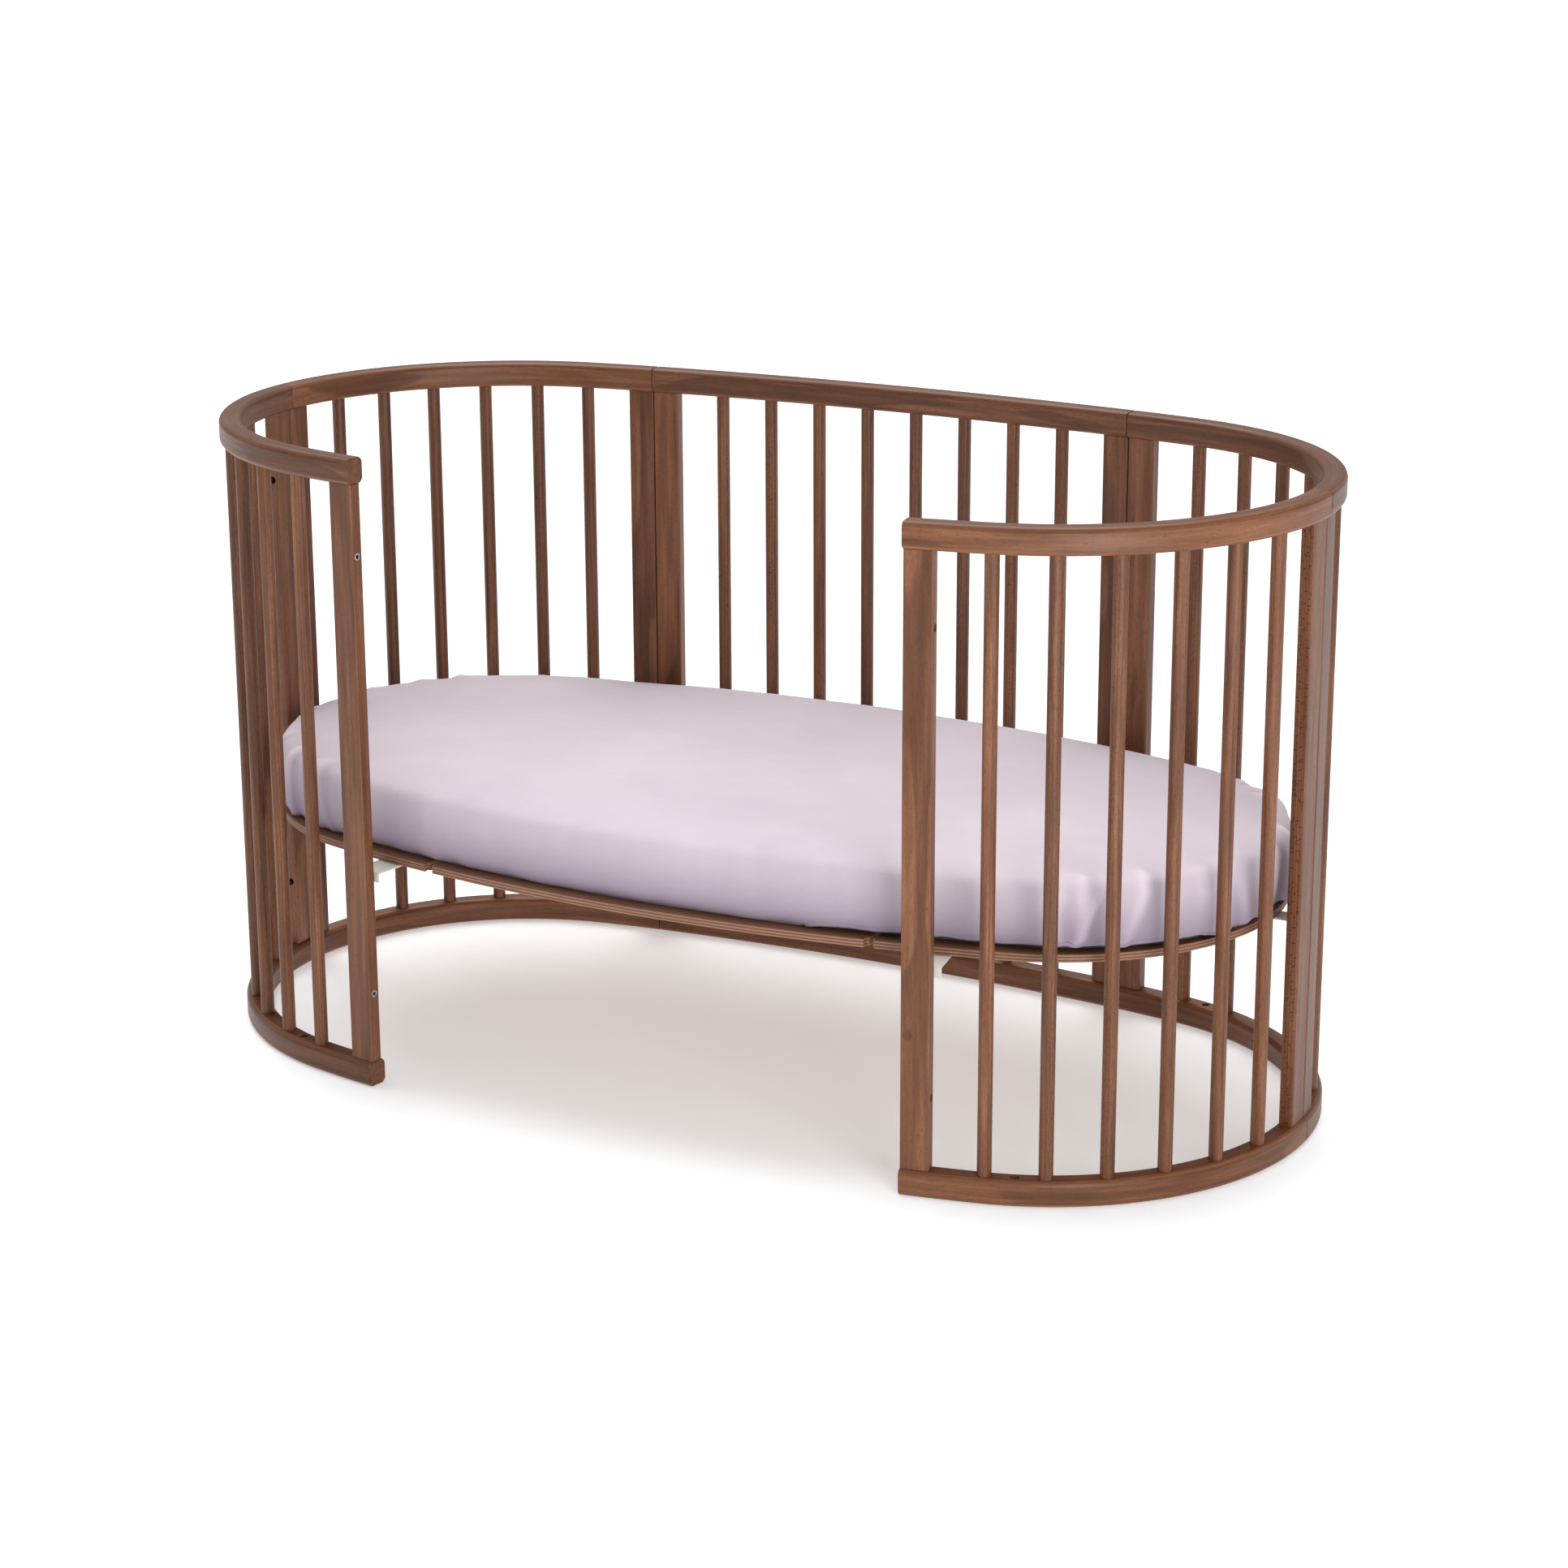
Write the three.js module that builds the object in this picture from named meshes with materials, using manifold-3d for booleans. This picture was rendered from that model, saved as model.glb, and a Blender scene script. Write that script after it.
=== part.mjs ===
// Oval baby crib in stained beech, set up with its front side panel taken off.
// Millimetres, +X along the crib, -Y towards the open side, +Z up, origin on the floor at the centre.
//
// The frame is a chain of five curved panels bolted end to end: one long middle panel at the back
// and four equal quarter panels. A panel is a top rail, a bottom rail, a flat post at each end and
// round bars between. Inside it hang a three-board plywood base and an oval mattress in its sheet.
import * as THREE from 'three';
import { mergeVertices } from 'three/addons/utils/BufferGeometryUtils.js';
import Module from 'manifold-3d';

const wasm = await Module();
wasm.setup();

// Frame
const FRAME_HEIGHT = 746;
const RAIL_HEIGHT = 30;
const RAIL_WIDTH = 27;
const RAIL_ROUNDING = 5.5;

// Plan of the rails' centre line: a shallow middle arc, then in each quarter panel a lead and a tight arc
const MIDDLE_LENGTH = 649;
const MIDDLE_RADIUS = 3033;
const LEAD_LENGTH = 90;
const LEAD_RADIUS = 1320;
const TURN_RADIUS = 312.5;
const TURN_ANGLE = 78.47; // degrees; four turns fall short of a closed ring, so the open front splays a little

// Posts and bars
const POST_WIDTH = 33;
const POST_THICKNESS = 16;
const POST_ROUNDING = 2;
const TENON_WIDTH = 18;
const TENON_THICKNESS = 8;
const BAR_DIAMETER = 16;
const SOCKET_DEPTH = 14; // how far bars and tenons go into a rail
const END_BAR_OFFSET = 92.8; // from a panel's end to its first bar
const MIDDLE_BARS = 8;
const QUARTER_BARS = 6;

// Joining hardware: bolt passages in the posts, caster sockets in the bottom rails
const BOLT_HEIGHT = 113; // from the floor, and from the top of the frame
const BOLT_HOLE = 6.6;
const BOLT_HEAD_HOLE = 9.4;
const BOLT_HEAD_DEPTH = 20;
const INSERT_HOLE = 8.4;
const INSERT_DEPTH = 15;
const CASTER_HOLE = 9.5;

// Base boards
const BASE_HEIGHT = 259.5; // underside, at the bolted position shown
const BASE_THICKNESS = 9;
const BASE_END_CLEARANCE = 20; // to the rails' inner face at the crib's ends
const BASE_SIDE_CLEARANCE = 3.6; // to the bars at the middle of the back
const BED_SIDE_RADIUS = 1780; // of the long sides of the boards and the mattress
const CENTRE_BOARD_LENGTH = 562;
const BOARD_GAP = 4;
const BOARD_CORNER = 9;

// Mattress and fitted sheet
const MATTRESS_END_CLEARANCE = 12.5; // from the sheet to the rails' inner face at the ends
const MATTRESS_SIDE_CLEARANCE = 4.6; // from the sheet to the rails' inner face at the back
const MATTRESS_THICKNESS = 79;
const MATTRESS_ROUNDING = 16;
const SHEET_THICKNESS = 2.2;
const SHEET_HEM = 9; // the mattress shows this far below the sheet

// Fits
const TOUCH = 0.3; // gap kept between pieces that touch
const RAIL_SEAM = 0.4; // between the rails of two panels
const POST_SEAM = 1.2; // between the posts of two panels

const ROUND_SIDES = 12;
const QUARTER_STEPS = 13;
const MIDDLE_STEPS = 6;

const beech = new THREE.MeshStandardMaterial({ name: 'stained beech', color: 0x7a4c35, roughness: 0.55 });
const plywood = new THREE.MeshStandardMaterial({ name: 'stained birch plywood', color: 0x8d5f45, roughness: 0.6 });
const ticking = new THREE.MeshStandardMaterial({ name: 'navy mattress cover', color: 0x1f2338, roughness: 0.9 });
const cotton = new THREE.MeshStandardMaterial({ name: 'lilac cotton jersey', color: 0xd4c7d0, roughness: 0.95 });

// ---- solids -------------------------------------------------------------------------------------

function solidFrom(geometry, matrix = new THREE.Matrix4()) {
  const bare = (geometry.index ? geometry.toNonIndexed() : geometry.clone()).applyMatrix4(matrix);
  bare.deleteAttribute('normal');
  bare.deleteAttribute('uv');
  const merged = mergeVertices(bare, 1e-3);
  return new wasm.Manifold(new wasm.Mesh({
    numProp: 3,
    vertProperties: merged.attributes.position.array,
    triVerts: new Uint32Array(merged.index.array),
  }));
}

function geometryFrom(solid) {
  const mesh = solid.getMesh();
  const geometry = new THREE.BufferGeometry();
  geometry.setAttribute('position', new THREE.BufferAttribute(mesh.vertProperties, 3));
  geometry.setIndex(new THREE.BufferAttribute(mesh.triVerts, 1));
  geometry.computeVertexNormals();
  return geometry;
}

function uprightCylinder(diameter, height) {
  const radius = diameter / 2;
  return new THREE.CylinderGeometry(radius, radius, height, ROUND_SIDES).rotateX(Math.PI / 2);
}

function roundedRectangle(width, height, radius) {
  const x = width / 2 - radius;
  const y = height / 2 - radius;
  const corners = [[x, y], [-x, y], [-x, -y], [x, -y]];
  const shape = new THREE.Shape();
  corners.forEach(([cx, cy], i) => {
    const start = i * Math.PI / 2;
    shape.absarc(cx, cy, radius, start, start + Math.PI / 2, false);
  });
  return shape;
}

// ---- plan of the frame --------------------------------------------------------------------------

const TURN_LENGTH = TURN_RADIUS * THREE.MathUtils.degToRad(TURN_ANGLE);
const QUARTER_LENGTH = LEAD_LENGTH + TURN_LENGTH;

// Arcs met on the way from the back's centre to the end of the front panel on the same side.
const halfRing = [
  { length: MIDDLE_LENGTH / 2, radius: MIDDLE_RADIUS },
  { length: LEAD_LENGTH, radius: LEAD_RADIUS },
  { length: TURN_LENGTH, radius: TURN_RADIUS },
  { length: TURN_LENGTH, radius: TURN_RADIUS },
  { length: LEAD_LENGTH, radius: LEAD_RADIUS },
];

// The point a distance along the centre line, and how far the line has turned from +X by then.
// Distances left of the back's centre are negative, and mirror the right side.
function alongRing(distance) {
  const side = Math.sign(distance) || 1;
  let left = Math.abs(distance);
  let [x, y, turned] = [0, 0, 0];
  for (const { length, radius } of halfRing) {
    const step = Math.min(left, length);
    const next = turned + step / radius;
    x += radius * (Math.sin(next) - Math.sin(turned));
    y += radius * (Math.cos(next) - Math.cos(turned));
    turned = next;
    left -= step;
  }
  return { x: side * x, y, turned: side * turned };
}

// The outer corners of the rails at the back and at the front ends set the middle of the frame's depth.
const frontEnd = alongRing(MIDDLE_LENGTH / 2 + 2 * QUARTER_LENGTH);
const backEdge = RAIL_WIDTH / 2;
const frontEdge = frontEnd.y + RAIL_WIDTH / 2 * Math.cos(frontEnd.turned);
const CENTRE_LINE_Y = -(backEdge + frontEdge) / 2;

// Moves a shape made at the origin, with +X along the rail and +Y outwards, to its place on the ring.
function placeOnRing(distance, height) {
  const { x, y, turned } = alongRing(distance);
  const matrix = new THREE.Matrix4().makeRotationZ(-turned);
  return matrix.setPosition(x, y + CENTRE_LINE_Y, height);
}

class RingCurve extends THREE.Curve {
  constructor(from, to, height) {
    super();
    Object.assign(this, { from, to, height });
  }

  getPoint(t, target = new THREE.Vector3()) {
    const { x, y } = alongRing(this.from + t * (this.to - this.from));
    return target.set(x, y + CENTRE_LINE_Y, this.height);
  }
}

// ---- panels -------------------------------------------------------------------------------------

// In the order in which they are bolted together. Each one's first post takes the inserts,
// and the bolts pass through its last.
const middleEnd = MIDDLE_LENGTH / 2;
const panels = [
  { name: 'front_left', from: -middleEnd - 2 * QUARTER_LENGTH, to: -middleEnd - QUARTER_LENGTH },
  { name: 'back_left', from: -middleEnd - QUARTER_LENGTH, to: -middleEnd },
  { name: 'back_middle', from: -middleEnd, to: middleEnd },
  { name: 'back_right', from: middleEnd, to: middleEnd + QUARTER_LENGTH },
  { name: 'front_right', from: middleEnd + QUARTER_LENGTH, to: middleEnd + 2 * QUARTER_LENGTH },
];

for (const panel of panels) {
  const isMiddle = panel.name === 'back_middle';
  const length = panel.to - panel.from;
  const count = isMiddle ? MIDDLE_BARS : QUARTER_BARS;
  const pitch = (length - 2 * END_BAR_OFFSET) / (count - 1);
  panel.steps = isMiddle ? MIDDLE_STEPS : QUARTER_STEPS;
  panel.bars = Array.from({ length: count }, (_, i) => panel.from + END_BAR_OFFSET + i * pitch);
  const postOffset = (POST_SEAM + POST_WIDTH) / 2;
  panel.posts = [panel.from + postOffset, panel.to - postOffset];
  // A caster socket lies between the first two bars from the end that faces a middle panel.
  const fromMiddle = END_BAR_OFFSET + pitch / 2;
  const facesMiddleFirst = panel.name === 'front_left' || panel.name === 'back_right';
  if (isMiddle) panel.casters = [];
  else panel.casters = [facesMiddleFirst ? panel.from + fromMiddle : panel.to - fromMiddle];
}

const RAIL_TOP = FRAME_HEIGHT - RAIL_HEIGHT;
const SOCKET_FLOOR = RAIL_HEIGHT - SOCKET_DEPTH;
const SOCKET_CEILING = RAIL_TOP + SOCKET_DEPTH;
const CUT_PAST = 1; // a cut runs this far past the surface it opens

function railSolid(panel, height) {
  const path = new RingCurve(panel.from + RAIL_SEAM / 2, panel.to - RAIL_SEAM / 2, height);
  const section = roundedRectangle(RAIL_HEIGHT, RAIL_WIDTH, RAIL_ROUNDING);
  return solidFrom(new THREE.ExtrudeGeometry(section, { steps: panel.steps, curveSegments: 1, extrudePath: path }));
}

// Cuts the sockets of the bars and tenons, from the height low to the height high.
function cutSockets(rail, panel, low, high) {
  const middle = (low + high) / 2;
  const barSocket = uprightCylinder(BAR_DIAMETER + 2 * TOUCH, high - low);
  const mortise = new THREE.BoxGeometry(TENON_WIDTH + 2 * TOUCH, TENON_THICKNESS + 2 * TOUCH, high - low);
  let cut = rail;
  for (const at of panel.bars) cut = cut.subtract(solidFrom(barSocket, placeOnRing(at, middle)));
  for (const at of panel.posts) cut = cut.subtract(solidFrom(mortise, placeOnRing(at, middle)));
  return cut;
}

function topRail(panel) {
  const rail = railSolid(panel, FRAME_HEIGHT - RAIL_HEIGHT / 2);
  return cutSockets(rail, panel, RAIL_TOP - CUT_PAST, SOCKET_CEILING + TOUCH);
}

function bottomRail(panel) {
  let rail = railSolid(panel, RAIL_HEIGHT / 2);
  rail = cutSockets(rail, panel, SOCKET_FLOOR - TOUCH, RAIL_HEIGHT + CUT_PAST);
  const through = uprightCylinder(CASTER_HOLE, RAIL_HEIGHT + 2 * CUT_PAST);
  for (const at of panel.casters) rail = rail.subtract(solidFrom(through, placeOnRing(at, RAIL_HEIGHT / 2)));
  return rail;
}

// A hole along X, from x = from to x = to, at a height.
function sideHole(diameter, from, to, height) {
  const hole = uprightCylinder(diameter, to - from).rotateY(Math.PI / 2);
  return solidFrom(hole.translate((from + to) / 2, 0, height));
}

// A post on its own axes: its foot on z = 0, the face that meets the next panel towards +X or -X.
function postSolid(hasInserts) {
  const height = RAIL_TOP - RAIL_HEIGHT - 2 * TOUCH;
  const section = roundedRectangle(POST_WIDTH, POST_THICKNESS, POST_ROUNDING);
  const shank = new THREE.ExtrudeGeometry(section, { depth: height, bevelEnabled: false, curveSegments: 1 });
  const tenonReach = SOCKET_DEPTH + TOUCH;
  const tenon = new THREE.BoxGeometry(TENON_WIDTH, TENON_THICKNESS, height + 2 * tenonReach);
  let post = solidFrom(shank).add(solidFrom(tenon.translate(0, 0, height / 2)));
  const foot = RAIL_HEIGHT + TOUCH;
  const face = POST_WIDTH / 2;
  for (const bolt of [BOLT_HEIGHT - foot, FRAME_HEIGHT - BOLT_HEIGHT - foot]) {
    if (hasInserts) {
      post = post.subtract(sideHole(INSERT_HOLE, -face - CUT_PAST, -face + INSERT_DEPTH, bolt));
    } else {
      post = post.subtract(sideHole(BOLT_HOLE, -face - CUT_PAST, face + CUT_PAST, bolt));
      post = post.subtract(sideHole(BOLT_HEAD_HOLE, -face - CUT_PAST, -face + BOLT_HEAD_DEPTH, bolt));
    }
  }
  return post;
}

function addMesh(group, name, geometry, material, matrix) {
  const mesh = new THREE.Mesh(geometry, material);
  mesh.name = name;
  if (matrix) {
    mesh.position.setFromMatrixPosition(matrix);
    mesh.rotation.setFromRotationMatrix(matrix);
  }
  group.add(mesh);
}

function panelGroup(panel, postGeometry, barGeometry) {
  const group = new THREE.Group();
  addMesh(group, panel.name + '_top_rail', geometryFrom(topRail(panel)), beech);
  addMesh(group, panel.name + '_bottom_rail', geometryFrom(bottomRail(panel)), beech);
  panel.posts.forEach((at, i) => {
    const place = placeOnRing(at, RAIL_HEIGHT + TOUCH);
    addMesh(group, panel.name + '_post_' + (i + 1), postGeometry[i], beech, place);
  });
  panel.bars.forEach((at, i) => {
    addMesh(group, panel.name + '_bar_' + (i + 1), barGeometry, beech, placeOnRing(at, FRAME_HEIGHT / 2));
  });
  return group;
}

// ---- base and mattress --------------------------------------------------------------------------

// Half sizes of the frame's centre line, inside which the base and the mattress fit.
const frameHalfLength = alongRing(MIDDLE_LENGTH / 2 + QUARTER_LENGTH).x;
const frameHalfWidth = CENTRE_LINE_Y;

const baseHalfLength = frameHalfLength - RAIL_WIDTH / 2 - BASE_END_CLEARANCE;
const baseHalfWidth = frameHalfWidth - BAR_DIAMETER / 2 - BASE_SIDE_CLEARANCE;

const sheetReach = TOUCH + SHEET_THICKNESS; // from the mattress to the sheet's outside
const mattressHalfLength = frameHalfLength - RAIL_WIDTH / 2 - MATTRESS_END_CLEARANCE - sheetReach;
const mattressHalfWidth = frameHalfWidth - RAIL_WIDTH / 2 - MATTRESS_SIDE_CLEARANCE - sheetReach;

// Closed oval of two side arcs and two end arcs that meet smoothly, grown outwards by an offset.
function ovalShape(halfLength, halfWidth, offset = 0) {
  const sideRadius = BED_SIDE_RADIUS;
  const endRadius = (2 * sideRadius * halfWidth - halfWidth ** 2 - halfLength ** 2)
    / (2 * (sideRadius - halfLength));
  const endCentre = halfLength - endRadius;
  const sideCentre = sideRadius - halfWidth;
  const meet = Math.atan2(sideCentre, endCentre); // from +X to where the arcs meet
  const shape = new THREE.Shape();
  shape.absarc(endCentre, 0, endRadius + offset, -meet, meet, false);
  shape.absarc(0, -sideCentre, sideRadius + offset, meet, Math.PI - meet, false);
  shape.absarc(-endCentre, 0, endRadius + offset, Math.PI - meet, Math.PI + meet, false);
  shape.absarc(0, sideCentre, sideRadius + offset, Math.PI + meet, 2 * Math.PI - meet, false);
  return shape;
}

function baseBoard(from, to, cutCorners) {
  const shape = ovalShape(baseHalfLength, baseHalfWidth);
  const oval = new THREE.ExtrudeGeometry(shape, { depth: BASE_THICKNESS, bevelEnabled: false, curveSegments: 8 });
  const slab = new THREE.BoxGeometry(to - from, 3 * baseHalfWidth, 3 * BASE_THICKNESS);
  let board = solidFrom(oval).intersect(solidFrom(slab.translate((from + to) / 2, 0, 0)));
  const bite = new THREE.BoxGeometry(BOARD_CORNER, BOARD_CORNER, 3 * BASE_THICKNESS).rotateZ(Math.PI / 4);
  for (const x of cutCorners) {
    const rise = Math.sqrt(BED_SIDE_RADIUS ** 2 - x ** 2) - BED_SIDE_RADIUS + baseHalfWidth;
    for (const y of [-rise, rise]) {
      board = board.subtract(solidFrom(bite, new THREE.Matrix4().makeTranslation(x, y, 0)));
    }
  }
  return geometryFrom(board);
}

// A flat-bottomed cushion with rounded rims, standing on z = 0 and grown by an offset all round.
function cushion(offset) {
  const shape = ovalShape(mattressHalfLength, mattressHalfWidth, offset - MATTRESS_ROUNDING);
  const geometry = new THREE.ExtrudeGeometry(shape, {
    depth: MATTRESS_THICKNESS + 2 * offset - 2 * MATTRESS_ROUNDING,
    bevelSize: MATTRESS_ROUNDING,
    bevelThickness: MATTRESS_ROUNDING,
    bevelSegments: 3,
    curveSegments: 6,
  });
  return solidFrom(geometry.translate(0, 0, MATTRESS_ROUNDING - offset));
}

function sheetSolid() {
  const skin = cushion(TOUCH + SHEET_THICKNESS).subtract(cushion(TOUCH));
  const reach = 4 * mattressHalfLength;
  const below = new THREE.BoxGeometry(reach, reach, reach).translate(0, 0, SHEET_HEM - reach / 2);
  return skin.subtract(solidFrom(below));
}

// ---- the crib -----------------------------------------------------------------------------------

const crib = new THREE.Group();

const postGeometry = [geometryFrom(postSolid(true)), geometryFrom(postSolid(false))];
const barGeometry = uprightCylinder(BAR_DIAMETER, SOCKET_CEILING - SOCKET_FLOOR);
for (const panel of panels) crib.add(panelGroup(panel, postGeometry, barGeometry));

const base = new THREE.Group();
base.position.z = BASE_HEIGHT;
const boardEnd = CENTRE_BOARD_LENGTH / 2;
const sideBoardEnd = boardEnd + BOARD_GAP;
addMesh(base, 'base_board_left', baseBoard(-baseHalfLength - 1, -sideBoardEnd, [-sideBoardEnd]), plywood);
addMesh(base, 'base_board_centre', baseBoard(-boardEnd, boardEnd, [-boardEnd, boardEnd]), plywood);
addMesh(base, 'base_board_right', baseBoard(sideBoardEnd, baseHalfLength + 1, [sideBoardEnd]), plywood);
crib.add(base);

const bedding = new THREE.Group();
bedding.position.z = BASE_HEIGHT + BASE_THICKNESS + TOUCH;
addMesh(bedding, 'mattress', geometryFrom(cushion(0)), ticking);
addMesh(bedding, 'fitted_sheet', geometryFrom(sheetSolid()), cotton);
crib.add(bedding);

export default crib;
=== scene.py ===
# Oval crib in stained beech with its front side panel taken off, its base and mattress in place.
# The CAD frame is loaded first and stays put; each piece below is made where it belongs, in metres.
import math
import random

import bmesh
import bpy
import numpy as np
from mathutils import Matrix, Vector
from mathutils.bvhtree import BVHTree


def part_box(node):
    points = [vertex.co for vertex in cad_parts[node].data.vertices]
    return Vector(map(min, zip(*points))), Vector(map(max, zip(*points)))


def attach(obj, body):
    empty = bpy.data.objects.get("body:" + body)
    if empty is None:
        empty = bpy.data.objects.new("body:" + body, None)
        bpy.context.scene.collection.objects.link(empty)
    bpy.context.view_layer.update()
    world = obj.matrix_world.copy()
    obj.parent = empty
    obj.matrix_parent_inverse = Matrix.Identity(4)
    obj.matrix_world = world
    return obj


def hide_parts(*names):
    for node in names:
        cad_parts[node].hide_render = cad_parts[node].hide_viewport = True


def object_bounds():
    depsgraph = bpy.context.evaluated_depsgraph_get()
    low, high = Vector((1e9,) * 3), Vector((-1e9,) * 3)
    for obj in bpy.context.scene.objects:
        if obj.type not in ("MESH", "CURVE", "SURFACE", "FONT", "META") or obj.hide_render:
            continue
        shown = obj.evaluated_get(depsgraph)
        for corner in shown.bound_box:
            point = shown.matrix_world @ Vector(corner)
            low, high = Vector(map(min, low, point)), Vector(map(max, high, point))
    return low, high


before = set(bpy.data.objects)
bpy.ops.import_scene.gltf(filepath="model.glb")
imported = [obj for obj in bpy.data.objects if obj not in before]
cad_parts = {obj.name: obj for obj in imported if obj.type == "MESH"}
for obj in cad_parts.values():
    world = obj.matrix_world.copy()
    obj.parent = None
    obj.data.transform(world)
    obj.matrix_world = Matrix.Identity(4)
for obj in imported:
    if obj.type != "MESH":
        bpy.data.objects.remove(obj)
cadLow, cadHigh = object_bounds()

mm = 0.001
tiny = 1e-6  # metres, for comparing places
scene = bpy.context.scene


# small helpers

def addNode(tree, kind, inputs=None, **settings):  # inputs: socket name or number, and its value or what it comes from
    node = tree.nodes.new(kind)
    for name, value in settings.items():
        setattr(node, name, value)
    for key, value in (inputs or {}).items():
        if isinstance(value, bpy.types.Node):  # a node stands for its first output
            value = value.outputs[0]
        if isinstance(value, bpy.types.NodeSocket):
            tree.links.new(value, node.inputs[key])
        else:
            node.inputs[key].default_value = value
    return node


def colour(code):  # an sRGB hex value as linear red, green, blue, alpha
    parts = [int(code[i:i + 2], 16) / 255 for i in (1, 3, 5)]
    return [p / 12.92 if p <= 0.04045 else ((p + 0.055) / 1.055) ** 2.4 for p in parts] + [1.0]


def newObject(name, mesh):
    obj = bpy.data.objects.new(name, mesh)
    scene.collection.objects.link(obj)
    return obj


def discard(*objs):
    for obj in objs:
        mesh = obj.data
        bpy.data.objects.remove(obj)
        bpy.data.meshes.remove(mesh)


def bakeModifiers(obj):  # the modifiers' result becomes the object's own mesh
    graph = bpy.context.evaluated_depsgraph_get()
    made = bpy.data.meshes.new_from_object(obj.evaluated_get(graph), preserve_all_data_layers=True, depsgraph=graph)
    old, obj.data = obj.data, made
    made.name = obj.name
    obj.modifiers.clear()
    bpy.data.meshes.remove(old)
    return obj


def makeTree(name, sockets):  # a Geometry Nodes tree with named inputs after its geometry
    tree = bpy.data.node_groups.new(name, "GeometryNodeTree")
    tree.interface.new_socket("Geometry", in_out="OUTPUT", socket_type="NodeSocketGeometry")
    tree.interface.new_socket("Geometry", in_out="INPUT", socket_type="NodeSocketGeometry")
    for label, kind in sockets.items():
        tree.interface.new_socket(label, in_out="INPUT", socket_type="NodeSocket" + kind)
    return tree, addNode(tree, "NodeGroupInput").outputs


def runTree(obj, tree, **values):
    modifier = obj.modifiers.new(tree.name, "NODES")
    modifier.node_group = tree
    for item in tree.interface.items_tree:
        if item.in_out == "INPUT" and item.name in values:
            modifier[item.identifier] = values[item.name]
    return bakeModifiers(obj)


def carve(obj, cutter, operation="DIFFERENCE"):
    modifier = obj.modifiers.new("carve", "BOOLEAN")
    modifier.object, modifier.operation, modifier.solver = cutter, operation, "EXACT"
    return bakeModifiers(obj)


def meshFrom(name, vertices, edges=(), faces=(), **attributes):  # a float or vector attribute per vertex for each extra name
    mesh = bpy.data.meshes.new(name)
    mesh.from_pydata([tuple(v) for v in vertices], list(edges), list(faces))
    for label, values in attributes.items():
        flat = np.array(values, np.float32)
        layer = mesh.attributes.new(label, "FLOAT_VECTOR" if flat.ndim == 2 else "FLOAT", "POINT")
        layer.data.foreach_set("vector" if flat.ndim == 2 else "value", flat.ravel())
    return mesh


def ringFaces(rows, count, closed=False):  # quads between rows of points that each run once round
    return [
        (r * count + i, r * count + (i + 1) % count, (r + 1) % rows * count + (i + 1) % count, (r + 1) % rows * count + i)
        for r in range(rows if closed else rows - 1) for i in range(count)
    ]


def meshOf(bm, name):
    mesh = bpy.data.meshes.new(name)
    bm.to_mesh(mesh)
    bm.free()
    return mesh


def thicken(bm, by):  # flat faces drawn out into a solid
    grown = bmesh.ops.extrude_face_region(bm, geom=list(bm.faces))
    bmesh.ops.translate(bm, verts=[v for v in grown["geom"] if isinstance(v, bmesh.types.BMVert)], vec=by)
    bmesh.ops.recalc_face_normals(bm, faces=bm.faces)


def solid(name, *parts):  # several bmesh makers, each given a place, as one object
    bm = bmesh.new()
    for make, place in parts:
        before = set(bm.verts)
        make(bm)
        bmesh.ops.transform(bm, matrix=place, verts=[v for v in bm.verts if v not in before])
    bmesh.ops.recalc_face_normals(bm, faces=bm.faces)
    return newObject(name, meshOf(bm, name))


def movedTo(x, y, z):
    return Matrix.Translation((x, y, z))


alongX, alongY = Matrix.Rotation(math.pi / 2, 4, "Y"), Matrix.Rotation(math.pi / 2, 4, "X")  # lay an upright piece down


def cylinder(diameter, length, sides=24):
    radius = diameter / 2
    return lambda bm: bmesh.ops.create_cone(bm, cap_ends=True, segments=sides, radius1=radius, radius2=radius, depth=length)


def block(x, y, z):
    return lambda bm: bmesh.ops.create_cube(bm, size=1, matrix=Matrix.Diagonal((x, y, z, 1)))


def finishPiece(obj, body, replaced=()):
    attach(obj, body)
    if replaced:
        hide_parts(*replaced)
    return obj


# plan of the crib: the frame's centre line, in the same arcs as the CAD

plan = {
    "middleLength": 649 * mm, "middleRadius": 3033 * mm,
    "leadLength": 90 * mm, "leadRadius": 1320 * mm,
    "turnRadius": 312.5 * mm, "turnAngle": 78.47,  # degrees
    "endBarOffset": 92.8 * mm, "middleBars": 8, "quarterBars": 6,
    "railSeam": 0.4 * mm, "postSeam": 1.2 * mm, "railWidth": 27 * mm,
}
frameHeight = cadHigh.z
turnLength = plan["turnRadius"] * math.radians(plan["turnAngle"])
quarterLength = plan["leadLength"] + turnLength
middleEnd = plan["middleLength"] / 2
lead, turnOfEnd = (plan["leadLength"], plan["leadRadius"]), (turnLength, plan["turnRadius"])
halfRing = [(middleEnd, plan["middleRadius"]), lead, turnOfEnd, turnOfEnd, lead]


def alongRing(distance):  # place and heading a distance along the centre line from the back's centre
    side = -1 if distance < 0 else 1
    left, x, y, turned = abs(distance), 0.0, 0.0, 0.0
    for length, radius in halfRing:
        step = min(left, length)
        following = turned + step / radius
        x += radius * (math.sin(following) - math.sin(turned))
        y += radius * (math.cos(following) - math.cos(turned))
        turned = following
        left -= step
    return side * x, y + backLine, side * turned


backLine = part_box("back_middle_top_rail")[1].y - plan["railWidth"] / 2  # half a rail inside its outer face


def onRing(distance, height):  # a point to set a piece out on, and its heading
    x, y, turned = alongRing(distance)
    return (x, y, height), -turned


def placeOnRing(distance, height):  # +X along the rail, +Y outwards
    point, heading = onRing(distance, height)
    return movedTo(*point) @ Matrix.Rotation(heading, 4, "Z")


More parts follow.
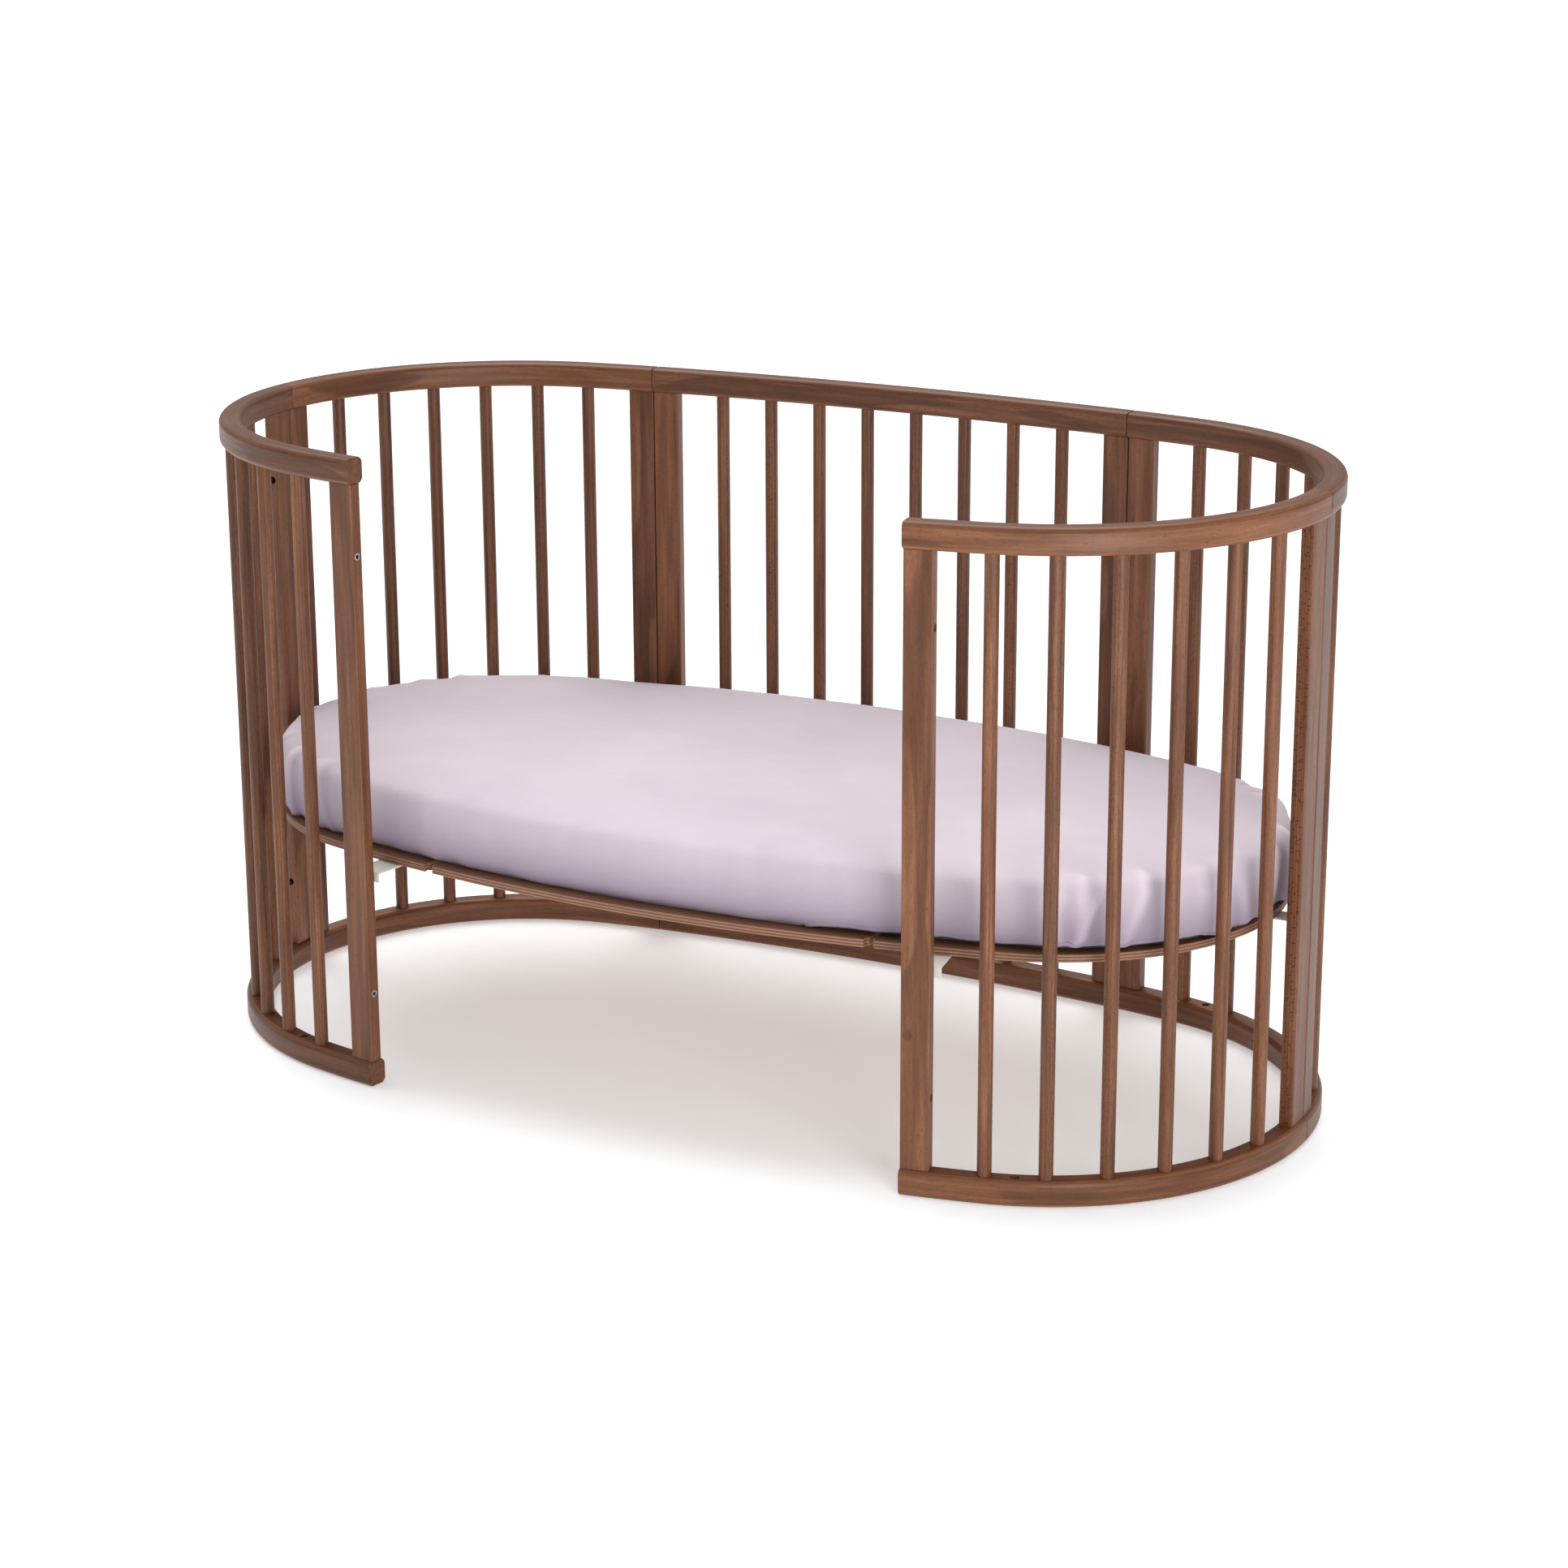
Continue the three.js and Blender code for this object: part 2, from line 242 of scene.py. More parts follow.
panels = []
for name, start, end in (
    ("front_left", -middleEnd - 2 * quarterLength, -middleEnd - quarterLength),
    ("back_left", -middleEnd - quarterLength, -middleEnd),
    ("back_middle", -middleEnd, middleEnd),
    ("back_right", middleEnd, middleEnd + quarterLength),
    ("front_right", middleEnd + quarterLength, middleEnd + 2 * quarterLength),
):
    count = plan["middleBars"] if name == "back_middle" else plan["quarterBars"]
    pitch = (end - start - 2 * plan["endBarOffset"]) / (count - 1)
    toCaster = plan["endBarOffset"] + pitch / 2
    caster = start + toCaster if name in ("front_left", "back_right") else end - toCaster
    panels.append({
        "name": name, "start": start, "end": end,
        "bars": [start + plan["endBarOffset"] + i * pitch for i in range(count)],
        "casters": [] if name == "back_middle" else [caster],
    })
byName = {panel["name"]: panel for panel in panels}


# materials

def newMaterial(name):
    material = bpy.data.materials.new(name)
    material.use_nodes = True
    material.node_tree.nodes.clear()
    return material, material.node_tree


def withShader(material, inputs):
    shader = addNode(material.node_tree, "ShaderNodeBsdfPrincipled", inputs)
    addNode(material.node_tree, "ShaderNodeOutputMaterial", {"Surface": shader})
    return material


def setStops(node, stops):  # a colour ramp's stops: place, and a hex colour or a grey
    points = node.color_ramp.elements
    while len(points) < len(stops):
        points.new(0.5)
    for point, (place, value) in zip(points, stops):
        point.position = place
        point.color = colour(value) if isinstance(value, str) else (value, value, value, 1)
    return node


beech = {
    "light": "#8a5a3d", "middle": "#77492d", "dark": "#643a22", "late": "#492711", "line": "#301a0d",
    "ringSpacing": 3.4 * mm,  # latewood lines
    "wander": 9 * mm,  # how far the rings stray across a face, which draws the tongues
    "fleckAlong": 2.0 * mm, "fleckRadial": 5 * mm, "fleckThin": 0.9 * mm,  # ray flecks, drawn a little coarse
    "fibre": 0.35 * mm,
    "roughness": 0.42,
}


def stainedBeech():  # brown stain under satin lacquer: fine straight fibres, dark latewood lines, short ray flecks, and a painted highlight along the rounded edges
    material, tree = newMaterial("stainedBeech")
    grain = addNode(tree, "ShaderNodeAttribute", attribute_name="grain").outputs["Vector"]  # along, across the rings, with the rings
    tone = addNode(tree, "ShaderNodeAttribute", attribute_name="tone").outputs["Fac"]
    fleck = addNode(tree, "ShaderNodeAttribute", attribute_name="fleck").outputs["Fac"]
    rim = addNode(tree, "ShaderNodeAttribute", attribute_name="rim").outputs["Fac"]
    radial = addNode(tree, "ShaderNodeSeparateXYZ", {0: grain}).outputs[1]

    slow = addNode(tree, "ShaderNodeMapping", {"Vector": grain, "Scale": (3.2, 22, 22)}, vector_type="POINT")
    wander = addNode(tree, "ShaderNodeTexNoise", {"Vector": slow, "Scale": 1.0, "Detail": 1.5, "Roughness": 0.4})
    strayed = addNode(tree, "ShaderNodeMath", {0: wander, 1: beech["wander"], 2: radial}, operation="MULTIPLY_ADD")
    rings = addNode(tree, "ShaderNodeMath", {0: strayed, 1: beech["ringSpacing"]}, operation="DIVIDE")
    ring = addNode(tree, "ShaderNodeMath", {0: rings}, operation="FRACT")
    latewood = setStops(addNode(tree, "ShaderNodeValToRGB", {0: ring}), [(0, 0.0), (0.55, 0.12), (0.9, 1.0), (0.95, 1.0), (1.0, 0.0)])

    long = addNode(tree, "ShaderNodeMapping", {"Vector": grain, "Scale": (70, 1 / beech["fibre"], 1 / beech["fibre"])})
    fibre = addNode(tree, "ShaderNodeTexNoise", {"Vector": long, "Scale": 0.8, "Detail": 3, "Roughness": 0.6})
    blotch = addNode(tree, "ShaderNodeMapping", {"Vector": grain, "Scale": (7, 130, 130)})
    mottle = addNode(tree, "ShaderNodeTexNoise", {"Vector": blotch, "Scale": 1.0, "Detail": 2})

    cell = [1 / beech[size] for size in ("fleckAlong", "fleckRadial", "fleckThin")]
    cells = addNode(tree, "ShaderNodeMapping", {"Vector": grain, "Scale": cell})
    spots = addNode(tree, "ShaderNodeTexVoronoi", {"Vector": cells, "Scale": 1.0, "Randomness": 1.0})
    near = addNode(tree, "ShaderNodeMapRange", {0: spots.outputs["Distance"], 1: 0.22, 2: 0.36, 3: 1.0, 4: 0.0})
    some = addNode(tree, "ShaderNodeSeparateColor", {0: spots.outputs["Color"]})
    chosen = addNode(tree, "ShaderNodeMath", {0: some, 1: 0.55}, operation="GREATER_THAN")
    flecks = addNode(tree, "ShaderNodeMath", {0: near, 1: chosen}, operation="MULTIPLY")
    shown = addNode(tree, "ShaderNodeMath", {0: flecks, 1: fleck}, operation="MULTIPLY")

    pits = addNode(tree, "ShaderNodeMapping", {"Vector": grain, "Scale": (150, 1400, 1400)})
    pitted = addNode(tree, "ShaderNodeTexNoise", {"Vector": pits, "Scale": 1.0, "Detail": 1})
    pores = addNode(tree, "ShaderNodeMapRange", {0: pitted, 1: 0.6, 2: 0.72, 3: 0.0, 4: 0.55})

    ground = addNode(tree, "ShaderNodeValToRGB", {0: mottle})
    setStops(ground, [(0.3, beech["dark"]), (0.5, beech["middle"]), (0.72, beech["light"])])
    late = addNode(tree, "ShaderNodeMath", {0: latewood, 1: 0.55}, operation="MULTIPLY")
    lined = addNode(tree, "ShaderNodeMix", {0: late, 6: ground, 7: colour(beech["late"])}, data_type="RGBA").outputs[2]
    pored = addNode(tree, "ShaderNodeMix", {0: pores, 6: lined, 7: colour(beech["line"])}, data_type="RGBA").outputs[2]
    streak = addNode(tree, "ShaderNodeMapRange", {0: fibre, 1: 0.3, 2: 0.7, 3: 0.76, 4: 1.24})
    fleckedBase = addNode(tree, "ShaderNodeMix", {0: shown, 6: pored, 7: colour(beech["line"])}, data_type="RGBA").outputs[2]
    # painted highlight: the rounded edges are lightened towards the light beech colour
    wornAndPaintedHighlight = addNode(tree, "ShaderNodeMath", {0: rim, 1: 0.22}, operation="MULTIPLY")
    withPaintedEdgeHighlight = addNode(tree, "ShaderNodeMix", {0: wornAndPaintedHighlight, 6: fleckedBase, 7: colour(beech["light"])}, data_type="RGBA").outputs[2]
    lift = addNode(tree, "ShaderNodeMath", {0: tone, 1: 0.16, 2: streak}, operation="MULTIPLY_ADD")
    stainWithPaintedEdgeHighlight = addNode(tree, "ShaderNodeHueSaturation", {"Value": lift, "Color": withPaintedEdgeHighlight})

    gloss = addNode(tree, "ShaderNodeMapRange", {0: fibre, 1: 0.3, 2: 0.7, 3: beech["roughness"] - 0.05, 4: beech["roughness"] + 0.08})
    relief = addNode(tree, "ShaderNodeMath", {0: shown, 1: -0.6, 2: fibre}, operation="MULTIPLY_ADD")
    bump = addNode(tree, "ShaderNodeBump", {"Strength": 0.35, "Distance": 0.12 * mm, "Height": relief})
    return withShader(material, {"Base Color": stainWithPaintedEdgeHighlight, "Roughness": gloss, "Normal": bump, "IOR": 1.5, "Specular IOR Level": 0.36})


plywood = {"face": "#8d5f45", "light": "#a87a5c", "dark": "#4f2c1b", "ply": 1.8 * mm, "roughness": 0.5}


def stainedPlywood():  # five birch plies with the stain on the faces and the end-grain plies showing darker on the edge
    material, tree = newMaterial("stainedBirchPlywood")
    place = addNode(tree, "ShaderNodeTexCoord").outputs["Object"]
    height = addNode(tree, "ShaderNodeSeparateXYZ", {0: place}).outputs[2]
    above = addNode(tree, "ShaderNodeMath", {0: height, 1: base["low"]}, operation="SUBTRACT")
    pairs = addNode(tree, "ShaderNodeMath", {0: above, 1: 2 * plywood["ply"]}, operation="DIVIDE")
    layer = addNode(tree, "ShaderNodeMath", {0: pairs}, operation="FRACT")
    endGrain = setStops(addNode(tree, "ShaderNodeValToRGB", {0: layer}), [(0.46, 0.0), (0.52, 1.0), (0.92, 1.0), (0.98, 0.0)])
    stretched = addNode(tree, "ShaderNodeMapping", {"Vector": place, "Scale": (12, 420, 900)})
    fibre = addNode(tree, "ShaderNodeTexNoise", {"Vector": stretched, "Scale": 1.0, "Detail": 4, "Roughness": 0.6})
    face = setStops(addNode(tree, "ShaderNodeValToRGB", {0: fibre}), [(0.3, plywood["face"]), (0.7, plywood["light"])])
    edge = addNode(tree, "ShaderNodeMath", {0: endGrain, 1: 0.8}, operation="MULTIPLY")
    mixed = addNode(tree, "ShaderNodeMix", {0: edge, 6: face, 7: colour(plywood["dark"])}, data_type="RGBA").outputs[2]
    bump = addNode(tree, "ShaderNodeBump", {"Strength": 0.3, "Distance": 0.15 * mm, "Height": fibre})
    return withShader(material, {"Base Color": mixed, "Normal": bump, "Roughness": plywood["roughness"], "IOR": 1.5})


mattressLow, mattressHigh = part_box("mattress")
sheetLow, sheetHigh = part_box("fitted_sheet")
# shade and light: the jersey's random tint; deep: the colour of the painted shade down the sides
jersey = {"light": "#ddd0da", "shade": "#d5c8d2", "deep": "#8e7d90", "stitch": 0.9 * mm, "roughness": 0.9}


def cottonJersey():  # fine knitted cotton, matt with a faint bloom, with painted shade: a deeper lilac painted down the sides, darker in the folds' hollows, and a painted highlight on their ridges
    material, tree = newMaterial("lilacCottonJersey")
    place = addNode(tree, "ShaderNodeTexCoord").outputs["Object"]
    clouds = addNode(tree, "ShaderNodeTexNoise", {"Vector": place, "Scale": 5.0, "Detail": 4, "Roughness": 0.55})
    tint = setStops(addNode(tree, "ShaderNodeValToRGB", {0: clouds}), [(0.35, jersey["shade"]), (0.62, jersey["light"])])
    ribs = addNode(tree, "ShaderNodeMapping", {"Vector": place, "Scale": (40, 900, 900)})
    yarn = addNode(tree, "ShaderNodeTexNoise", {"Vector": ribs, "Scale": 1.0, "Detail": 2})
    knit = addNode(tree, "ShaderNodeTexVoronoi", {"Vector": place, "Scale": 1 / jersey["stitch"], "Randomness": 0.5}, feature="F1")
    weave = addNode(tree, "ShaderNodeMath", {0: knit, 1: yarn}, operation="ADD")
    slub = addNode(tree, "ShaderNodeMapRange", {0: yarn, 1: 0.3, 2: 0.7, 3: 0.975, 4: 1.02})
    height = addNode(tree, "ShaderNodeSeparateXYZ", {0: place}).outputs[2]
    # painted shade: the sides are tinted towards the deep lilac, more the lower they are
    clearanceAndPaintedSideShade = addNode(tree, "ShaderNodeMapRange", {0: height, 1: sheetHigh.z - 4 * mm, 2: sheetLow.z, 3: 0.0, 4: 0.85})
    tintWithPaintedSideShade = addNode(tree, "ShaderNodeMix", {0: clearanceAndPaintedSideShade, 6: tint, 7: colour(jersey["deep"])}, data_type="RGBA").outputs[2]
    # painted shade in the side folds' hollows and painted highlight on their ridges, read from the folds' lift
    fold = addNode(tree, "ShaderNodeAttribute", attribute_name="fold").outputs["Fac"]
    hollow = addNode(tree, "ShaderNodeMapRange", {0: fold, 1: -1.5 * mm, 2: 3.5 * mm, 3: 0.87, 4: 1.22})
    slubAndPaintedFoldShade = addNode(tree, "ShaderNodeMath", {0: slub, 1: hollow}, operation="MULTIPLY")
    dyeWithPaintedShade = addNode(tree, "ShaderNodeHueSaturation", {"Value": slubAndPaintedFoldShade, "Color": tintWithPaintedSideShade})
    bump = addNode(tree, "ShaderNodeBump", {"Strength": 0.25, "Distance": 0.25 * mm, "Height": weave})
    return withShader(material, {
        "Base Color": dyeWithPaintedShade, "Normal": bump, "Roughness": jersey["roughness"], "IOR": 1.46,
        "Sheen Weight": 0.12, "Sheen Roughness": 0.5,
    })


ticking = {"navy": "#1d2136", "thread": "#2b3150", "spacing": 1.2 * mm}


def navyTicking():  # dark woven mattress cover with a fine twill line
    material, tree = newMaterial("navyTicking")
    place = addNode(tree, "ShaderNodeTexCoord").outputs["Object"]
    waves = {"Vector": place, "Scale": 0.314 / ticking["spacing"], "Distortion": 0.6, "Detail": 2}
    twill = addNode(tree, "ShaderNodeTexWave", waves, bands_direction="DIAGONAL").outputs[1]
    tint = setStops(addNode(tree, "ShaderNodeValToRGB", {0: twill}), [(0.2, ticking["navy"]), (0.9, ticking["thread"])])
    bump = addNode(tree, "ShaderNodeBump", {"Strength": 0.3, "Distance": 0.2 * mm, "Height": twill})
    return withShader(material, {"Base Color": tint, "Normal": bump, "Roughness": 0.85, "Sheen Weight": 0.2})


def plainFinish(name, tint, roughness, metallic=0.0, scratch=0.06):  # turned or pressed steel: colour, and a finely scratched gloss
    material, tree = newMaterial(name)
    place = addNode(tree, "ShaderNodeTexCoord").outputs["Object"]
    wearAndEdgeHighlight = addNode(tree, "ShaderNodeTexNoise", {"Vector": place, "Scale": 600.0, "Detail": 3})
    gloss = addNode(tree, "ShaderNodeMapRange", {0: wearAndEdgeHighlight, 3: roughness - scratch, 4: roughness + scratch})
    spread = addNode(tree, "ShaderNodeMapRange", {0: wearAndEdgeHighlight, 3: 0.92, 4: 1.04})
    wornAndPaintedHighlight = addNode(tree, "ShaderNodeHueSaturation", {"Value": spread, "Color": colour(tint)})
    return withShader(material, {"Base Color": wornAndPaintedHighlight, "Roughness": gloss, "Metallic": metallic})


def paintedFloor():  # a pale product table, lit a little from below
    material, tree = newMaterial("palePaintedFloor")
    place = addNode(tree, "ShaderNodeTexCoord").outputs["Object"]
    haze = addNode(tree, "ShaderNodeTexNoise", {"Vector": place, "Scale": 1.3, "Detail": 2})
    tint = setStops(addNode(tree, "ShaderNodeValToRGB", {0: haze}), [(0.3, "#e9eef1"), (0.7, "#eef2f5")])
    return withShader(material, {
        "Base Color": tint, "Roughness": 0.7, "Specular IOR Level": 0.25,
        "Emission Color": (1, 1, 1, 1), "Emission Strength": 0.37,
    })


beechFinish = stainedBeech()
jerseyFinish = cottonJersey()
tickingFinish = navyTicking()
zincFinish = plainFinish("zincPlatedSteel", "#c9cbd0", 0.32, 1.0)  # bright bluish plating
blackFinish = plainFinish("blackenedSteel", "#2a2928", 0.45, 1.0)  # dark oxide on the bolts
powderFinish = plainFinish("creamPowderCoat", "#d8d8cf", 0.45)  # pale coating on the brackets, a touch glossy
capFinish = plainFinish("brownNylon", "#5b3a2a", 0.5)  # moulded caps, the stain's colour
print("materials ready")


# Geometry Nodes: a section swept along the frame's line, and pieces set out on it

vector = {"data_type": "FLOAT_VECTOR"}


def endTree(tree, shape, given, spares):  # smooth but for creases, without its working attributes, in its finish
    turn = addNode(tree, "GeometryNodeInputMeshEdgeAngle").outputs["Unsigned Angle"]
    gentle = addNode(tree, "FunctionNodeCompare", {0: turn, 1: given["Crease"]}, data_type="FLOAT", operation="LESS_THAN")
    for domain, smooth in (("FACE", True), ("EDGE", gentle)):
        shape = addNode(tree, "GeometryNodeSetShadeSmooth", {"Geometry": shape, "Shade Smooth": smooth}, domain=domain)
    for spare in spares:
        shape = addNode(tree, "GeometryNodeRemoveAttribute", {"Geometry": shape, "Name": spare})
    shape = addNode(tree, "GeometryNodeSetMaterial", {"Geometry": shape, "Material": given["Finish"]})
    addNode(tree, "NodeGroupOutput", {0: shape})


sweepTree, given = makeTree("sweepAlongRing", {
    "Section": "Object", "Sockets": "Object", "End rounding": "Float", "Half height": "Float",
    "Grain shift": "Vector", "Tone": "Float", "Fleck": "Float", "Crease": "Float", "Finish": "Material",
})
line = addNode(sweepTree, "GeometryNodeMeshToCurve", {"Mesh": given["Geometry"]})
line = addNode(sweepTree, "GeometryNodeSetCurveNormal", {"Curve": line}, mode="Z_UP")
walked = addNode(sweepTree, "GeometryNodeSplineParameter").outputs["Length"]
whole = addNode(sweepTree, "GeometryNodeSplineLength").outputs["Length"]
line = addNode(sweepTree, "GeometryNodeStoreNamedAttribute", {"Geometry": line, "Name": "along", "Value": walked}, data_type="FLOAT")
remaining = addNode(sweepTree, "ShaderNodeMath", {0: whole, 1: walked}, operation="SUBTRACT")
toEnd = addNode(sweepTree, "ShaderNodeMath", {0: walked, 1: remaining}, operation="MINIMUM")
inside = addNode(sweepTree, "ShaderNodeMath", {0: given["End rounding"], 1: toEnd}, operation="SUBTRACT")
inside = addNode(sweepTree, "ShaderNodeMath", {0: inside, 1: 0.0}, operation="MAXIMUM")
insideSquared = addNode(sweepTree, "ShaderNodeMath", {0: inside, 1: inside}, operation="MULTIPLY")
roundSquared = addNode(sweepTree, "ShaderNodeMath", {0: given["End rounding"], 1: given["End rounding"]}, operation="MULTIPLY")
level = addNode(sweepTree, "ShaderNodeMath", {0: roundSquared, 1: insideSquared}, operation="SUBTRACT")
level = addNode(sweepTree, "ShaderNodeMath", {0: level}, operation="SQRT")
inset = addNode(sweepTree, "ShaderNodeMath", {0: given["End rounding"], 1: level}, operation="SUBTRACT")
share = addNode(sweepTree, "ShaderNodeMath", {0: inset, 1: given["Half height"]}, operation="DIVIDE")
scaleAtEnd = addNode(sweepTree, "ShaderNodeMath", {0: 1.0, 1: share}, operation="SUBTRACT")
section = addNode(sweepTree, "GeometryNodeObjectInfo", {"Object": given["Section"]}).outputs["Geometry"]
section = addNode(sweepTree, "GeometryNodeMeshToCurve", {"Mesh": section})
where = addNode(sweepTree, "GeometryNodeInputPosition")
section = addNode(sweepTree, "GeometryNodeStoreNamedAttribute", {"Geometry": section, "Name": "across", "Value": where}, **vector)
swept = addNode(sweepTree, "GeometryNodeCurveToMesh", {"Curve": line, "Profile Curve": section, "Scale": scaleAtEnd, "Fill Caps": True})
along = addNode(sweepTree, "GeometryNodeInputNamedAttribute", {"Name": "along"}, data_type="FLOAT")
across = addNode(sweepTree, "GeometryNodeInputNamedAttribute", {"Name": "across"}, **vector)
across = addNode(sweepTree, "ShaderNodeSeparateXYZ", {0: across})
coordinates = addNode(sweepTree, "ShaderNodeCombineXYZ", {0: along, 1: across.outputs[0], 2: across.outputs[1]})
coordinates = addNode(sweepTree, "ShaderNodeVectorMath", {0: coordinates, 1: given["Grain shift"]}, operation="ADD")
for label, kind, value in (("grain", "FLOAT_VECTOR", coordinates), ("tone", "FLOAT", given["Tone"]), ("fleck", "FLOAT", given["Fleck"])):
    swept = addNode(sweepTree, "GeometryNodeStoreNamedAttribute", {"Geometry": swept, "Name": label, "Value": value}, data_type=kind)
cutters = addNode(sweepTree, "GeometryNodeObjectInfo", {"Object": given["Sockets"]}).outputs["Geometry"]
swept = addNode(sweepTree, "GeometryNodeMeshBoolean", {"Mesh 1": swept, "Mesh 2": cutters}, operation="DIFFERENCE", solver="EXACT")
swept = addNode(sweepTree, "GeometryNodeRealizeInstances", {"Geometry": swept})
endTree(sweepTree, swept, given, ("along", "across"))

# one copy of a piece on each point: the point's turn sets its heading, and tone, fleck and shift go to its grain
setOutTree, given = makeTree("setOutOnPoints", {"Piece": "Object", "Crease": "Float", "Finish": "Material"})
piece = addNode(setOutTree, "GeometryNodeObjectInfo", {"Object": given["Piece"]}).outputs["Geometry"]
where = addNode(setOutTree, "GeometryNodeInputPosition")
where = addNode(setOutTree, "ShaderNodeSeparateXYZ", {0: where})
upright = addNode(setOutTree, "ShaderNodeCombineXYZ", {0: where.outputs[2], 1: where.outputs[1], 2: where.outputs[0]})
piece = addNode(setOutTree, "GeometryNodeStoreNamedAttribute", {"Geometry": piece, "Name": "grain", "Value": upright}, **vector)
heading = addNode(setOutTree, "GeometryNodeInputNamedAttribute", {"Name": "turn"}, data_type="FLOAT")
rotation = addNode(setOutTree, "FunctionNodeAxisAngleToRotation", {"Axis": (0, 0, 1), "Angle": heading})
copies = addNode(setOutTree, "GeometryNodeInstanceOnPoints", {"Points": given["Geometry"], "Instance": piece, "Rotation": rotation})
copies = addNode(setOutTree, "GeometryNodeRealizeInstances", {"Geometry": copies})
own = addNode(setOutTree, "GeometryNodeInputNamedAttribute", {"Name": "grain"}, **vector)
shift = addNode(setOutTree, "GeometryNodeInputNamedAttribute", {"Name": "shift"}, **vector)
shifted = addNode(setOutTree, "ShaderNodeVectorMath", {0: own, 1: shift}, operation="ADD")
copies = addNode(setOutTree, "GeometryNodeStoreNamedAttribute", {"Geometry": copies, "Name": "grain", "Value": shifted}, **vector)
endTree(setOutTree, copies, given, ("turn", "shift"))


plainLook = {"tone": 0.0, "fleck": 0.0, "shift": (0.0, 0.0, 0.0)}
setOutCrease = 30  # degrees


def setOut(name, source, places, finish, looks=None):  # places: (point, heading)
    looks = looks or [plainLook] * len(places)
    mesh = meshFrom(name, [point for point, heading in places], turn=[heading for point, heading in places],
                    **{key: [look[key] for look in looks] for key in ("tone", "fleck", "shift")})
    return runTree(newObject(name, mesh), setOutTree, Piece=source, Crease=math.radians(setOutCrease), Finish=finish)


print("trees ready")


# rails

rail = {
    "height": 30 * mm, "width": plan["railWidth"], "rounding": 5.5 * mm,
    "crease": 13,  # degrees between a flat and its rounding, which keeps the edge line crisp
    "roundingSteps": 6, "endRounding": 1.8 * mm, "step": 8 * mm, "socket": 14 * mm, "clearance": 0.15 * mm,
    "caster": 9.5 * mm, "meshCrease": 12,  # degrees, above which an edge shows
}
post = {
    "width": 33 * mm, "thickness": 16 * mm, "rounding": 2 * mm, "tenonWidth": 18 * mm, "tenonThickness": 8 * mm,
    "boltHeight": 113 * mm, "boltHole": 6.6 * mm, "headHole": 9.4 * mm, "headDepth": 20 * mm,
    "insertHole": 8.4 * mm, "insertDepth": 15 * mm, "gap": 0.3 * mm,
}
bar = {"diameter": 16 * mm, "sides": 28, "chamfer": 1 * mm}
for panel in panels:
    offset = (plan["postSeam"] + post["width"]) / 2
    panel["posts"] = [panel["start"] + offset, panel["end"] - offset]


def roundedSection(width, height, rounding, steps, crease=0.0, support=None):  # corner points, and how much painted edge highlight each takes
    angle = math.radians(crease)
    radius = rounding / (math.cos(angle) - math.sin(angle))
    points, wearAndEdgeHighlight = [], []
    for turnBy in range(4):
        halfX, halfY = (width / 2, height / 2) if turnBy % 2 == 0 else (height / 2, width / 2)
        corner = []
        for i in range(steps + 1):
            a = angle + (math.pi / 2 - 2 * angle) * i / steps
            across = halfX - radius * math.cos(angle) + radius * math.cos(a)
            high = halfY - rounding - radius * math.sin(angle) + radius * math.sin(a)
            corner.append((across, high, math.sin(math.pi * i / steps)))
        if support:
            corner = [(halfX, halfY - rounding - support, 0.0)] + corner + [(halfX - rounding - support, halfY, 0.0)]
        c, s = round(math.cos(turnBy * math.pi / 2)), round(math.sin(turnBy * math.pi / 2))
        for x, y, w in corner:
            points.append((c * x - s * y, s * x + c * y))
            wearAndEdgeHighlight.append(w)
    return points, wearAndEdgeHighlight


profile, wearAndEdgeHighlight = roundedSection(rail["width"], rail["height"], rail["rounding"], rail["roundingSteps"], rail["crease"], 2 * mm)
railSection = newObject("railSection", meshFrom("railSection", [(x, y, 0) for x, y in profile],
                                                [(i, (i + 1) % len(profile)) for i in range(len(profile))], rim=wearAndEdgeHighlight))


def railSockets(panel, low, high):  # what the bars, tenons and casters cut out of a rail
    middle, depth = (low + high) / 2, high - low
    clearanceAndPaintedSideShade = 2 * rail["clearance"]
    hole = cylinder(bar["diameter"] + clearanceAndPaintedSideShade, depth, bar["sides"])
    mortise = block(post["tenonWidth"] + clearanceAndPaintedSideShade, post["tenonThickness"] + clearanceAndPaintedSideShade, depth)
    return [(hole, placeOnRing(at, middle)) for at in panel["bars"]] + [(mortise, placeOnRing(at, middle)) for at in panel["posts"]]


